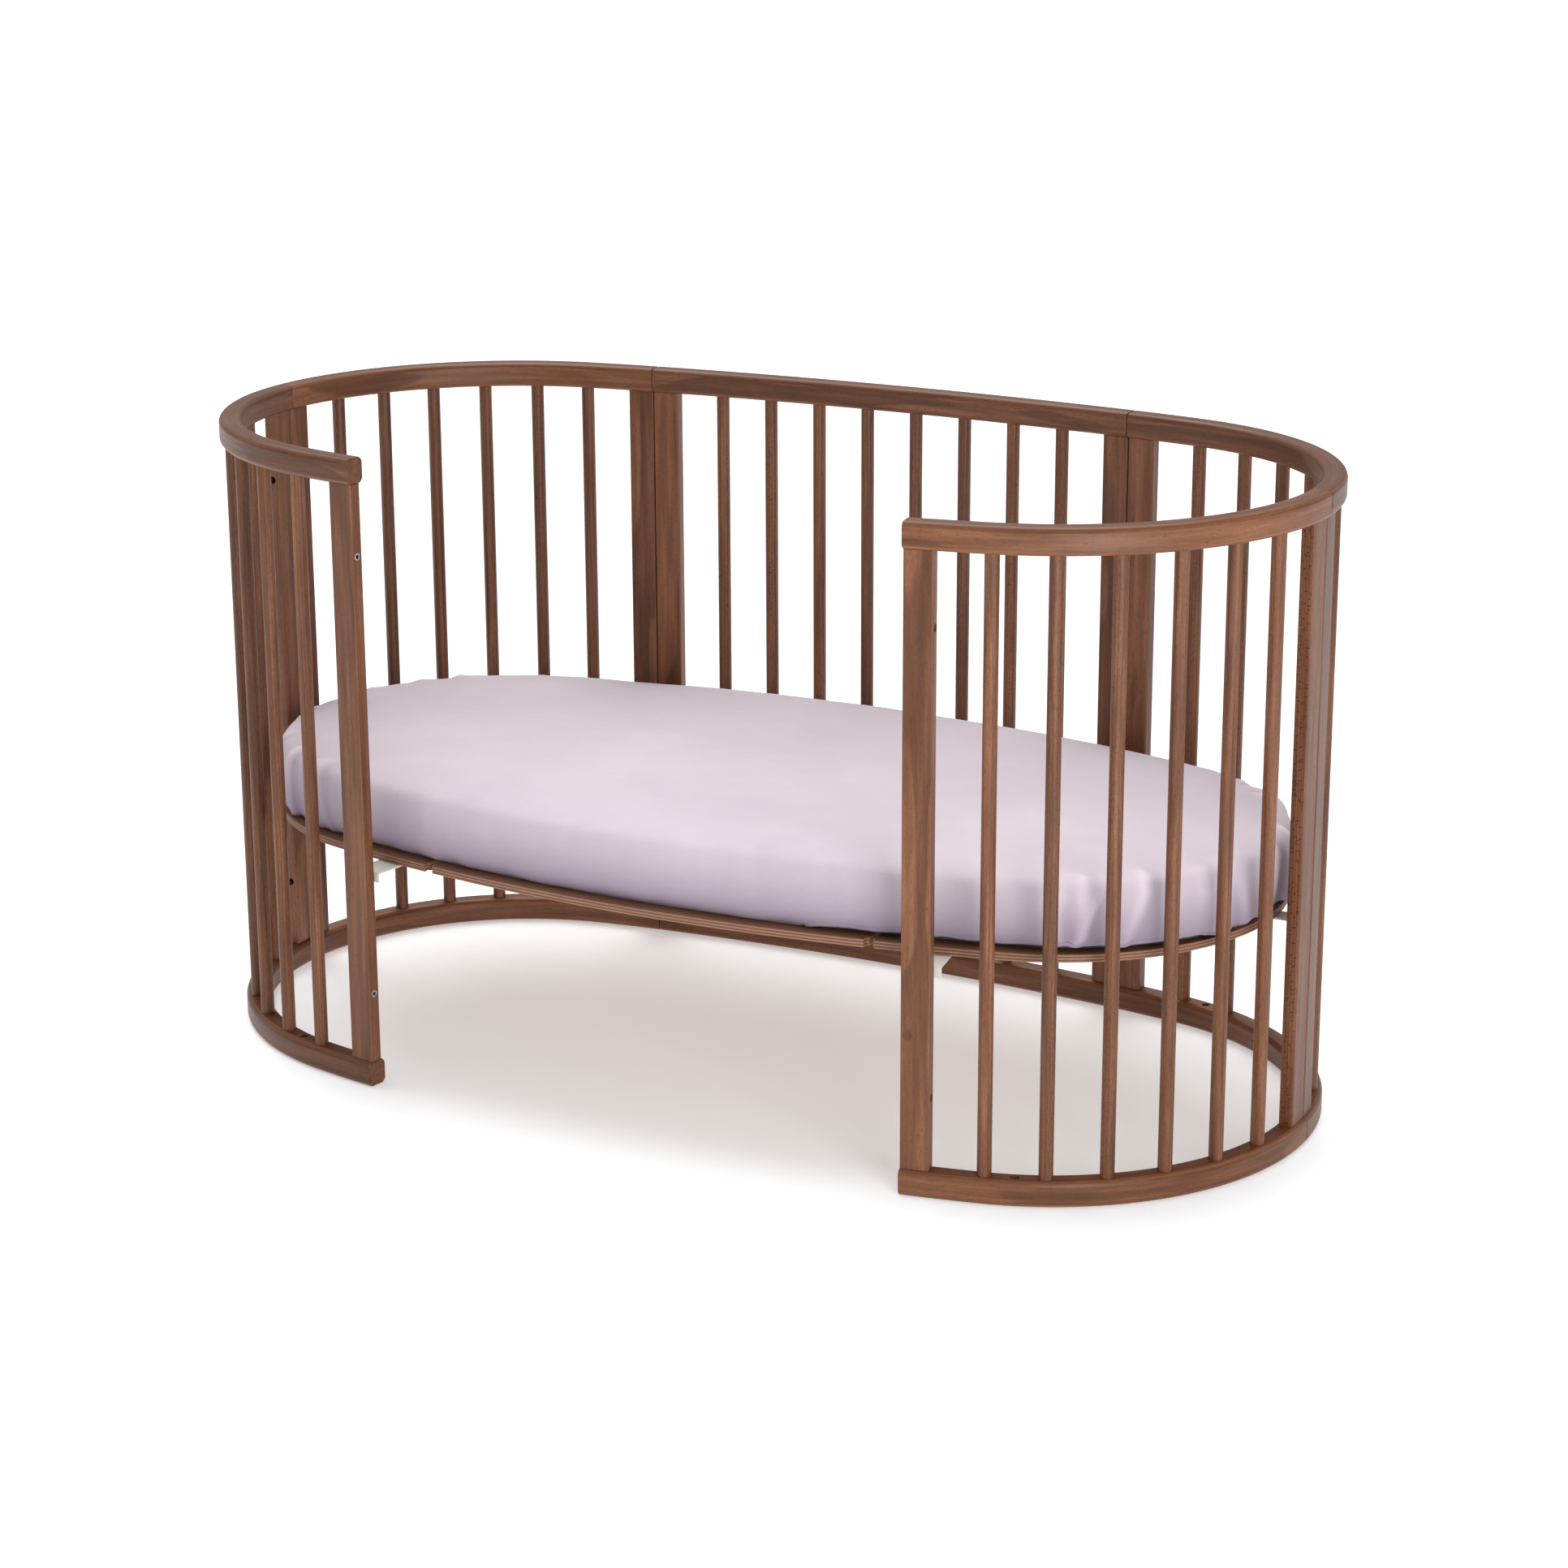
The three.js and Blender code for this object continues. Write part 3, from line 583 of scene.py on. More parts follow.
def makeRail(panel, end, look):
    isTop = end == "top"
    start, stop = panel["start"] + plan["railSeam"] / 2, panel["end"] - plan["railSeam"] / 2
    r = rail["endRounding"]
    eased = [r * (1 - math.cos(math.pi / 2 * i / 3)) for i in range(3)] + [r]
    count = math.ceil((stop - start - 2 * r) / rail["step"])
    between = [r + (stop - start - 2 * r) * i / count for i in range(count + 1)]
    steps = eased[:-1] + between + [stop - start - e for e in reversed(eased[:-1])]
    height = frameHeight - rail["height"] / 2 if isTop else rail["height"] / 2
    points = [onRing(start + step, height)[0] for step in steps]
    through, reach = 1 * mm, rail["socket"] + post["gap"]  # how far the cutters stand out of the rail, and go into it
    if isTop:
        parts = railSockets(panel, frameHeight - rail["height"] - through, frameHeight - rail["height"] + reach)
    else:
        parts = railSockets(panel, rail["height"] - reach, rail["height"] + through)
        parts += [(cylinder(rail["caster"], 2 * rail["height"]), placeOnRing(at, height)) for at in panel["casters"]]
    sockets = solid("sockets", *parts)
    name = panel["name"] + "_" + end
    obj = newObject("rail_" + name, meshFrom(name, points, [(i, i + 1) for i in range(len(points) - 1)]))
    runTree(obj, sweepTree, **{
        "Section": railSection, "Sockets": sockets, "End rounding": r, "Half height": rail["height"] / 2,
        "Grain shift": look["shift"], "Tone": look["tone"], "Fleck": look["fleck"],
        "Crease": math.radians(rail["meshCrease"]), "Finish": beechFinish,
    })
    discard(sockets)
    return finishPiece(obj, "frame", [panel["name"] + "_" + end + "_rail"])


draw = random.Random(7)


def woodLook(fleck=0.35):  # where in the log a piece was cut, and how dark it took the stain
    shift = (draw.uniform(0, 9), draw.uniform(0, 3), draw.uniform(0, 3))
    return {"shift": shift, "tone": draw.uniform(-1, 1), "fleck": fleck * draw.uniform(0.5, 1.5)}


for panel in panels:
    for end in ("top", "bottom"):
        makeRail(panel, end, woodLook(0.25))
discard(railSection)
print("rails ready")


# posts

def postSource(name, hasInserts):  # foot of the shank on z = 0, the seam face towards +X or -X
    outline, wearAndEdgeHighlight = roundedSection(post["width"], post["thickness"], post["rounding"], 4, 0.0, 1.5 * mm)
    height = frameHeight - 2 * rail["height"] - 2 * post["gap"]
    count = len(outline)
    vertices = [(x, y, z) for z in (0, height) for x, y in outline]
    faces = [tuple(range(count))[::-1], tuple(range(count, 2 * count))] + ringFaces(2, count)
    obj = newObject(name, meshFrom(name, vertices, (), faces, rim=wearAndEdgeHighlight + wearAndEdgeHighlight))
    tenon = block(post["tenonWidth"], post["tenonThickness"], height + 2 * rail["socket"])
    tenon = solid("tenon", (tenon, movedTo(0, 0, height / 2)))
    carve(obj, tenon, "UNION")
    foot, face = rail["height"] + post["gap"], post["width"] / 2
    parts = []
    for bolt in (post["boltHeight"] - foot, frameHeight - post["boltHeight"] - foot):
        atFace = movedTo(-face, 0, bolt) @ alongX
        if hasInserts:
            parts.append((cylinder(post["insertHole"], 2 * post["insertDepth"]), atFace))
        else:
            parts.append((cylinder(post["boltHole"], 3 * face), movedTo(0, 0, bolt) @ alongX))
            parts.append((cylinder(post["headHole"], 2 * post["headDepth"]), atFace))
    for part in parts:
        cutter = solid("cutter", part)
        carve(obj, cutter)
        discard(cutter)
    discard(tenon)
    return obj


postSources = [postSource("postWithInserts", True), postSource("postWithBolts", False)]
postLooks = {  # the ones that stand out; the rest are drawn
    "front_right_post_2": {"shift": (4.31, 1.204, 0.77), "tone": 0.6, "fleck": 0.25},
    "front_right_post_1": {"shift": (2.2, 0.4, 1.9), "tone": -0.2, "fleck": 1.5},
}
for panel in panels:
    for number, (at, source) in enumerate(zip(panel["posts"], postSources), 1):
        name = panel["name"] + "_post_" + str(number)
        look = postLooks.get(name) or woodLook(0.3)
        place = onRing(at, rail["height"] + post["gap"])
        obj = setOut("post_" + panel["name"] + "_" + str(number), source, [place], beechFinish, [look])
        finishPiece(obj, "frame", [name])
discard(*postSources)
print("posts ready")


# bars

def isLevel(edge):
    return abs(edge.verts[0].co.z - edge.verts[1].co.z) < tiny


def barSource():
    length = frameHeight - 2 * rail["height"] + 2 * rail["socket"]
    bm = bmesh.new()
    cylinder(bar["diameter"], length, bar["sides"])(bm)
    bmesh.ops.bevel(bm, geom=[e for e in bm.edges if isLevel(e)], offset=bar["chamfer"], segments=1, affect="EDGES")
    return newObject("barSource", meshOf(bm, "bar"))


source = barSource()
for panel in panels:
    looks = [woodLook(0.6) for at in panel["bars"]]
    places = [(onRing(at, frameHeight / 2)[0], draw.uniform(0, 2 * math.pi)) for at in panel["bars"]]
    obj = setOut("bars_" + panel["name"], source, places, beechFinish, looks)
    finishPiece(obj, "frame", [panel["name"] + "_bar_" + str(i + 1) for i in range(len(looks))])
discard(source)
print("bars ready")


# base boards

base = {
    "low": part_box("base_board_centre")[0].z,
    "halfLength": -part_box("base_board_left")[0].x, "halfWidth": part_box("base_board_centre")[1].y,
    "edgeRounding": 0.6 * mm, "sideRadius": 1780 * mm, "cornerRounding": 7 * mm, "smoothUnder": 35,  # degrees
}
plywoodFinish = stainedPlywood()


def ovalOutline(halfLength, halfWidth, sideRadius, offset, spacing):  # points and outward directions, anticlockwise from +X
    endRadius = (2 * sideRadius * halfWidth - halfWidth ** 2 - halfLength ** 2) / (2 * (sideRadius - halfLength))
    endCentre, sideCentre = halfLength - endRadius, sideRadius - halfWidth
    meet = math.atan2(sideCentre, endCentre)
    endArc, sideArc = endRadius + offset, sideRadius + offset
    arcs = [
        (endCentre, 0, endArc, -meet, meet), (0, -sideCentre, sideArc, meet, math.pi - meet),
        (-endCentre, 0, endArc, math.pi - meet, math.pi + meet), (0, sideCentre, sideArc, math.pi + meet, 2 * math.pi - meet),
    ]
    points, outwards = [], []
    for cx, cy, radius, start, end in arcs:
        count = max(4, round(radius * (end - start) / spacing))
        for i in range(count):
            a = start + (end - start) * i / count
            points.append((cx + radius * math.cos(a), cy + radius * math.sin(a)))
            outwards.append((math.cos(a), math.sin(a)))
    return np.array(points), np.array(outwards)


def boardOutline(spacing):
    return ovalOutline(base["halfLength"], base["halfWidth"], base["sideRadius"], 0, spacing)


def baseBoard(name, node):
    low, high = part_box(node)
    bm = bmesh.new()
    bm.faces.new([bm.verts.new((x, y, low.z)) for x, y in boardOutline(6 * mm)[0]])
    for side, at in ((-1, low.x), (1, high.x)):  # trimmed square at the gaps between boards
        if abs(at) < base["halfLength"] - 1 * mm:
            everything = list(bm.verts) + list(bm.edges) + list(bm.faces)
            bmesh.ops.bisect_plane(bm, geom=everything, plane_co=(at, 0, 0), plane_no=(side, 0, 0), clear_outer=True)
            corners = [v for v in bm.verts if abs(v.co.x - at) < tiny]
            bmesh.ops.bevel(bm, geom=corners, offset=base["cornerRounding"], segments=5, affect="VERTICES")
    thicken(bm, (0, 0, high.z - low.z))
    rims = [e for e in bm.edges if isLevel(e) and len({abs(f.normal.z) > 0.5 for f in e.link_faces}) == 2]
    bmesh.ops.bevel(bm, geom=rims, offset=base["edgeRounding"], segments=2, affect="EDGES")
    mesh = meshOf(bm, name)
    mesh.shade_smooth()
    mesh.set_sharp_from_angle(angle=math.radians(base["smoothUnder"]))
    mesh.materials.append(plywoodFinish)
    return finishPiece(newObject(name, mesh), "base", [node])


for side in ("left", "centre", "right"):
    baseBoard("board_" + side, "base_board_" + side)
print("base boards ready")


# mattress: a foam oval that swells a little under its cover

bed = {
    "sideRadius": base["sideRadius"], "topRounding": 17 * mm, "bottomRounding": 7 * mm, "spacing": 12 * mm,
    "voxel": 9 * mm, "shrinkFirst": 3 * mm, "frames": 20,
    "pressure": 0.3, "tension": 40.0, "mass": 0.4,  # a firm cover that swells 6 mm or so, short of its caps
    "topCap": 9 * mm, "sideCap": 3.5 * mm,
    "holdSlope": 1.6, "holdBelow": 0.3,  # the swelling fades out towards the underside, which lies flat
}


def bedOutline(spacing, offset=0):
    return ovalOutline(mattressHigh.x, mattressHigh.y, bed["sideRadius"], offset, spacing)


def cushionProfile(top, bottom, height, steps):  # inset and height, from the bottom's rim to the top's rim
    turns = [math.pi / 2 * i / steps for i in range(steps + 1)]
    rows = [(bottom * (1 - math.sin(a)), bottom * (1 - math.cos(a))) for a in turns]
    return rows + [(top * (1 - math.cos(a)), height - top + top * math.sin(a)) for a in turns]


def cushionMesh(name):
    inset = bed["shrinkFirst"]
    outline, outwards = bedOutline(bed["spacing"])
    rows = cushionProfile(bed["topRounding"], bed["bottomRounding"], mattressHigh.z - mattressLow.z, 5)
    vertices = [
        (x - ox * (d + inset), y - oy * (d + inset), mattressLow.z + z)
        for d, z in rows for (x, y), (ox, oy) in zip(outline, outwards)
    ]
    n = len(outline)
    faces = ringFaces(len(rows), n) + [tuple(range(n))[::-1], tuple(range((len(rows) - 1) * n, len(rows) * n))]
    return newObject(name, meshFrom(name, vertices, (), faces))


def swell(obj):  # cloth blown up gently from inside, its moves capped so that it keeps its place
    start = np.empty(len(obj.data.vertices) * 3)
    obj.data.vertices.foreach_get("co", start)
    start = start.reshape(-1, 3)
    moved = start.copy()
    cloth = obj.modifiers.new("cloth", "CLOTH")
    cloth.settings.use_pressure = True
    cloth.settings.uniform_pressure_force = bed["pressure"]
    cloth.settings.quality = 5
    cloth.settings.mass = bed["mass"]
    cloth.settings.tension_stiffness = cloth.settings.compression_stiffness = bed["tension"]
    cloth.settings.shear_stiffness = bed["tension"] / 2
    cloth.settings.effector_weights.gravity = 0
    cloth.point_cache.frame_end = bed["frames"]
    for number in range(1, bed["frames"] + 1):
        scene.frame_set(number)
    graph = bpy.context.evaluated_depsgraph_get()
    obj.evaluated_get(graph).data.vertices.foreach_get("co", (flat := np.empty(start.size)))
    moved = flat.reshape(-1, 3)
    obj.modifiers.remove(cloth)
    scene.frame_set(1)
    step = moved - start
    crown = (start[:, 2] - mattressLow.z) / (mattressHigh.z - mattressLow.z)
    sideways = np.linalg.norm(step[:, :2], axis=1)
    step[:, :2] *= np.minimum(1, bed["sideCap"] / np.maximum(sideways, 1e-9))[:, None]
    step[:, 2] = np.clip(step[:, 2], 0, bed["topCap"])
    step[:, 2] *= np.clip(crown * bed["holdSlope"] - bed["holdBelow"], 0, 1)
    obj.data.vertices.foreach_set("co", (start + step).astype(np.float32).ravel())
    obj.data.update()


mattress = cushionMesh("mattressPad")
remesh = mattress.modifiers.new("remesh", "REMESH")
remesh.mode, remesh.voxel_size = "VOXEL", bed["voxel"]
bakeModifiers(mattress)
swell(mattress)
smooth = mattress.modifiers.new("smooth", "SMOOTH")
smooth.factor, smooth.iterations = 0.5, 6
subdivide = mattress.modifiers.new("subdivide", "SUBSURF")
subdivide.levels = subdivide.render_levels = 1
bakeModifiers(mattress)
mattress.data.shade_smooth()
mattress.data.materials.clear()
mattress.data.materials.append(tickingFinish)
print("mattress ready")


# fitted sheet: pulled over the mattress, gathered at its hem, with puckers where the hem pulls round the ends

cover = {
    "spacing": 4.2 * mm, "rise": 1.3 * mm,  # the cloth's middle above the mattress
    "wrap": 16 * mm,  # how far the hem goes under
    "navyShows": 7 * mm,  # how high the hem rides up at the front right
    "slipFrom": (-62, -50), "slipTo": (-12, -4),  # degrees round the bed where the hem has slipped up
    "slipWave": 1.2 * mm, "slipWaveLength": 23 * mm, "standOff": 0.3 * mm,
    "tuckTurn": 1.6, "rimTurn": 1.571,  # about a quarter turn, for the distance along the cloth
    "folds": 84, "foldHeight": 5.2 * mm, "foldWidths": (6, 13), "foldTops": (-46, 22),  # widths and tops in mm
    "foldLean": 0.35, "foldFade": (14 * mm, 26 * mm), "leftFolds": 0.7,  # the left end is less gathered
    "ripple": 0.8 * mm, "crumple": 0.9 * mm, "hollow": 0.9 * mm,
}


def smoothStep(low, high, value):
    t = np.clip((value - low) / (high - low), 0, 1)
    return t * t * (3 - 2 * t)


def rippled(x, y, seed, count, longest, shortest):  # a sum of soft waves in all directions
    waves = random.Random(seed)
    total = np.zeros_like(x)
    for i in range(count):
        way, length, phase = waves.uniform(0, math.pi), waves.uniform(shortest, longest), waves.uniform(0, 6.28)
        total += np.sin((x * math.cos(way) + y * math.sin(way)) * 2 * math.pi / length + phase) * length / longest
    return total / math.sqrt(count)


def sheetRows(height):  # from the hem to the middle: share of the way in, inset, height, distance below the rim
    r, b = bed["topRounding"], bed["bottomRounding"]
    rows = [(0, inset, 0, height + inset) for inset in np.linspace(cover["wrap"], b, 3)[:-1]]
    for a in np.linspace(0, math.pi / 2, 4)[:-1]:
        rows.append((0, b * (1 - math.sin(a)), b * (1 - math.cos(a)), height - b * a / cover["tuckTurn"]))
    rows += [(0, 0, z, height - z) for z in np.linspace(b, height - r, 12)[:-1]]
    sideRows = len(rows)
    for a in np.linspace(0, math.pi / 2, 8)[:-1]:
        rows.append((0, r * (1 - math.cos(a)), height - r + r * math.sin(a), r * (1 - a / cover["rimTurn"])))
    rows += [(k, r, height, -k) for k in np.concatenate([np.linspace(0, 0.12, 9)[:-1], np.linspace(0.12, 0.97, 56)])]
    return rows, sideRows


def gathers(outline, around, total, below):  # ridges that run down the side from near the rim, more of them round the ends
    folds = random.Random(21)
    lift = np.zeros(below.shape)
    ends = np.abs(outline[:, 0]) / mattressHigh.x
    for i in range(cover["folds"]):
        centre = folds.uniform(0, total)
        width, tall = folds.uniform(*cover["foldWidths"]) * mm, cover["foldHeight"] * folds.uniform(0.35, 1.0)
        lean, top = folds.uniform(-cover["foldLean"], cover["foldLean"]), folds.uniform(*cover["foldTops"]) * mm
        nearest = np.argmin(np.abs(around - centre))
        weight = 0.05 + 0.95 * smoothStep(0.54, 0.84, ends[nearest])
        if outline[nearest, 0] < 0:
            weight *= cover["leftFolds"]
        away = around[None, :] + lean * below - centre
        away = (away + total / 2) % total - total / 2
        ridge = np.exp(-(away / width) ** 2) - 0.55 * np.exp(-((away - 1.7 * width) / width) ** 2)
        reach = smoothStep(top - cover["foldFade"][0], top + cover["foldFade"][1], below)
        lift += tall * weight * ridge * reach
    return lift


def makeSheet():
    outline, outwards = bedOutline(cover["spacing"])
    count = len(outline)
    height = mattressHigh.z - mattressLow.z
    gaps = np.linalg.norm(np.roll(outline, -1, 0) - outline, axis=1)
    around = np.concatenate([[0], np.cumsum(gaps)[:-1]])
    angle = np.degrees(np.arctan2(outline[:, 1], outline[:, 0]))
    up = smoothStep(*cover["slipFrom"], angle) * (1 - smoothStep(*cover["slipTo"], angle))
    rows, sideRows = sheetRows(height)
    place = np.zeros((len(rows), count, 3))
    below = np.zeros((len(rows), count))
    for i, (k, inset, z, down) in enumerate(rows):
        place[i, :, :2] = (outline - outwards * inset) * (1 - k)
        place[i, :, 2] = mattressLow.z + z
        below[i] = down
    # the slipped part of the hem: rows under its line are drawn up onto it
    wave = cover["slipWave"] * up * np.sin(around / cover["slipWaveLength"])
    hemLine = mattressLow.z + cover["navyShows"] * up + wave
    for column in np.nonzero(up > 0.02)[0]:
        low, top = hemLine[column], mattressLow.z + height - bed["topRounding"]
        share = up[column]
        out = outline[column] - outwards[column] * cover["standOff"]
        for i in range(sideRows):
            aim = low + (top - low) * (i / sideRows)
            place[i, column, 2] = place[i, column, 2] * (1 - share) + aim * share
            place[i, column, :2] = place[i, column, :2] * (1 - share) + out * share
    flat = place.reshape(-1, 3)
    tree = BVHTree.FromObject(mattress, bpy.context.evaluated_depsgraph_get())
    lift = gathers(outline, around, around[-1] + gaps[-1], below)
    x, y = flat[:, 0].reshape(lift.shape), flat[:, 1].reshape(lift.shape)
    onTop = smoothStep(20 * mm, -30 * mm, below)
    # the side folds' lift, kept on the sheet for its painted fold shade and highlight
    creases = np.append(lift.ravel(), 0.0)
    lift += cover["ripple"] * rippled(x, y, 5, 14, 0.24, 0.07) * (0.35 + 0.65 * onTop)
    nearFrontLeft = np.exp(-((x + 0.33) / 0.10) ** 2 - ((y + 0.24) / 0.09) ** 2)
    lift += cover["crumple"] * rippled(x + 0.6 * y, 0.15 * y, 9, 6, 0.09, 0.045) * nearFrontLeft
    lift = np.maximum(lift, -cover["hollow"] - 0.25 * np.abs(lift)).ravel()
    moved = np.empty_like(flat)
    for i, point in enumerate(flat):
        spot, normal, face, away = tree.find_nearest(Vector(point))
        moved[i] = np.array(spot) + np.array(normal) * (cover["rise"] + max(lift[i], -cover["hollow"]))
    moved[:, 2] = np.maximum(moved[:, 2], mattressLow.z - 0.1 * mm)
    centre, last = len(moved), (len(rows) - 1) * count
    moved = np.vstack([moved, moved[-count:].mean(0)])
    faces = ringFaces(len(rows), count) + [(last + i, last + (i + 1) % count, centre) for i in range(count)]
    obj = newObject("fittedSheet", meshFrom("fittedSheet", moved, (), faces, fold=creases))
    obj.data.shade_smooth()
    obj.data.materials.append(jerseyFinish)
    return obj, moved[:count], outwards


sheet, hemPoints, outwards = makeSheet()
print("sheet ready")


casing = {"halfWidth": 2.6 * mm, "thick": 0.8 * mm, "gather": 0.25 * mm, "gatherTurn": 2.2, "sides": 8, "underneath": 0.6}


def makeHem(points, outwards):  # the elastic casing sewn round the edge, a flat tube gathered every few millimetres
    count, sides = len(points), casing["sides"]
    vertices = []
    for i, (point, (ox, oy)) in enumerate(zip(points, outwards)):
        gather = casing["gather"] * math.sin(i * casing["gatherTurn"])
        upright = point[2] > mattressLow.z + 3 * mm  # on the side of the mattress, so the casing stands upright
        for j in range(sides):
            a = 2 * math.pi * j / sides
            wide, thick = casing["halfWidth"] * math.cos(a), (casing["thick"] + gather) * math.sin(a)
            out, rise = (thick, wide) if upright else (wide, max(thick, 0) * casing["underneath"])
            vertices.append((point[0] + ox * out, point[1] + oy * out, point[2] + rise))
    bm = bmesh.new()
    bm.from_mesh(meshFrom("sheetHemDraft", vertices, (), ringFaces(count, sides, closed=True)))
    bmesh.ops.recalc_face_normals(bm, faces=bm.faces)
    mesh = meshOf(bm, "sheetHem")
    mesh.shade_smooth()
    mesh.materials.append(jerseyFinish)
    return newObject("sheetHem", mesh)


hem = makeHem(hemPoints, outwards)
finishPiece(mattress, "mattress", ["mattress"])
finishPiece(sheet, "mattress", ["fitted_sheet"])
finishPiece(hem, "mattress", ())
drop = mattressHigh.z - mattressLow.z + cover["wrap"]
rimSaves = bed["topRounding"] * 0.43  # a rounded edge is shorter than a square one
cut = bedOutline(10 * mm, drop - rimSaves)[0]
print("bedding ready")


# hardware

bolt = {
    "height": post["boltHeight"], "head": 9 * mm, "headLength": 6 * mm, "socket": 5 * mm, "socketDepth": 6 * mm,
    "shank": 24 * mm, "sunk": 0.2 * mm, "play": 0.4 * mm,
}
insert = {"outside": 8.2 * mm, "inside": 5.6 * mm, "length": 14 * mm, "back": 0.1 * mm, "open": 3 * mm}
heights = (bolt["height"], frameHeight - bolt["height"])

# a threaded insert, its mouth on x = 0 towards -X
half = insert["length"] / 2
body = solid("insert", (cylinder(insert["outside"], insert["length"], 28), movedTo(half + insert["back"], 0, 0) @ alongX))
mouth = solid("mouth", (cylinder(insert["inside"], insert["length"], 6), movedTo(half - insert["open"], 0, 0) @ alongX))
carve(body, mouth)
places = [onRing(panel["start"] + plan["postSeam"] / 2, z) for panel in panels for z in heights]
finishPiece(setOut("threadedInserts", body, places, zincFinish), "frame")
discard(body, mouth)

# a panel bolt, its head's face towards -X, reaching through the seam into the next panel's insert
head, shank = bolt["headLength"], bolt["shank"]
body = solid(
    "bolt",
    (cylinder(bolt["head"], head, 28), movedTo(head / 2, 0, 0) @ alongX),
    (cylinder(insert["inside"] - bolt["play"], shank, 20), movedTo(head + shank / 2 - bolt["sunk"], 0, 0) @ alongX),
)
mouth = solid("mouth", (cylinder(bolt["socket"], bolt["socketDepth"], 6), alongX))
carve(body, mouth)
fromSeam = plan["postSeam"] / 2 + post["width"] - post["headDepth"] + head
places = [onRing(panel["end"] - fromSeam, z) for panel in panels[:-1] for z in heights]
finishPiece(setOut("panelBolts", body, places, blackFinish), "frame")
discard(body, mouth)

# brackets that hold the base up, one on each post the base passes, each long enough to reach under the boards
bracket = {
    "sheet": 2.2 * mm, "leg": 12 * mm, "overlap": 24 * mm, "lip": 5 * mm, "clear": 0.3 * mm, "rounding": 0.7 * mm,
    "farthest": 120 * mm, "search": 0.5 * mm,
}
boardLow = base["low"] - 0.2 * mm
boardEdge, boardOutwards = boardOutline(10 * mm)


def underBoard(x, y):  # how far inside the boards' oval a point is, negative outside it
    return -float(np.max(np.sum((np.array([x, y]) - boardEdge) * boardOutwards, axis=1)))


def reachFrom(at):  # from the post's inner face to the bracket's lip
    x, y, turned = alongRing(at)
    across = 0.0
    while across < bracket["farthest"]:
        inward = -(post["thickness"] / 2 + across)
        if underBoard(x + inward * math.sin(turned), y + inward * math.cos(turned)) > 0:
            return across + bracket["overlap"]
        across += bracket["search"]
    raise ValueError("no board in reach of the bracket")


def bracketSource(low, high, reach):  # bent from one strip: a leg on the post, a shelf under the board, a stiffening lip
    t, inner = bracket["sheet"], -post["thickness"] / 2 - bracket["clear"]
    outer = inner - reach
    lip, leg = -bracket["lip"], -bracket["leg"]
    shape = [
        (inner, 0), (outer, 0), (outer, lip), (outer + t, lip),
        (outer + t, -t), (inner - t, -t), (inner - t, leg), (inner, leg),
    ]
    bm = bmesh.new()
    bm.faces.new([bm.verts.new((low, y, z)) for y, z in shape])
    thicken(bm, (high - low, 0, 0))
    bmesh.ops.bevel(bm, geom=list(bm.edges), offset=bracket["rounding"], segments=2, affect="EDGES")
    return newObject("bracket", meshOf(bm, "bracket"))


fixing = {"head": 7 * mm, "boltDeep": 3 * mm, "screwDeep": 2 * mm, "aside": 6 * mm, "fromLip": (9 * mm, 18 * mm), "down": -7 * mm,
          "key": 4 * mm, "slot": 0.9 * mm}


def fixingsSource(reach, aside):  # the bolt on the leg, and two screws up into the board near the lip
    inner = -post["thickness"] / 2 - bracket["clear"] - bracket["sheet"]
    under, (first, second) = -bracket["sheet"], [inner - reach + d for d in fixing["fromLip"]]
    left, right, down = aside - fixing["aside"], aside + fixing["aside"], fixing["down"]
    head, deep, screwDeep, key, slot = (fixing[k] for k in ("head", "boltDeep", "screwDeep", "key", "slot"))
    screw = cylinder(head, screwDeep, 20)
    body = solid(
        "fixings",
        (cylinder(head, deep, 24), movedTo(aside, inner - deep / 2, down) @ alongY),
        (screw, movedTo(left, first, under - screwDeep / 2)),
        (screw, movedTo(right, second, under - screwDeep / 2)),
    )
    slots = solid(
        "slots",
        (cylinder(key, key, 6), movedTo(aside, inner - deep, down) @ alongY),
        (block(key, slot, screwDeep), movedTo(left, first, under - screwDeep)),
        (block(slot, key, screwDeep), movedTo(right, second, under - screwDeep)),
    )
    carve(body, slots)
    discard(slots)
    return body


sides = (-13 * mm, 13 * mm)
supports = [  # where on the ring, and the strip's two edges from the post's middle
    ("leftEnd", "back_left", 0, sides), ("rightEnd", "back_right", 1, sides),
    ("backLeft", "back_middle", 0, sides), ("backRight", "back_middle", 1, sides),
    ("frontLeft", "front_left", 0, (-22 * mm, 13 * mm)), ("frontRight", "front_right", 1, (-24 * mm, 8 * mm)),
]
for where, name, which, (low, high) in supports:
    at = byName[name]["posts"][which]
    reach = reachFrom(at)
    print("bracket", where, "reaches", round(reach / mm, 1), "mm")
    strip, fixings = bracketSource(low, high, reach), fixingsSource(reach, (low + high) / 2)
    for label, source, finish in (("bracket_", strip, powderFinish), ("bracketFixings_", fixings, zincFinish)):
        finishPiece(setOut(label + where, source, [onRing(at, boardLow)], finish), "base")
        discard(source)

# round caps under the end boards
cap = {"across": 422 * mm, "deep": 252 * mm, "diameter": 17 * mm, "height": 5 * mm}
rings, around = 6, 24
radius = cap["diameter"] / 2
vertices = [
    (radius * math.cos(a) * math.cos(t), radius * math.cos(a) * math.sin(t), -cap["height"] * math.sin(a))
    for a in (math.pi / 2 * i / rings for i in range(rings)) for t in (2 * math.pi * j / around for j in range(around))
] + [(0, 0, -cap["height"])]
last = (rings - 1) * around
faces = [tuple(range(around))]
faces += [(a, d, c, b) for a, b, c, d in ringFaces(rings, around)]
faces += [(last + j, rings * around, last + (j + 1) % around) for j in range(around)]
source = newObject("cap", meshFrom("cap", vertices, (), faces))
places = [((sx * cap["across"], sy * cap["deep"], boardLow), 0.0) for sx in (-1, 1) for sy in (-1, 1)]
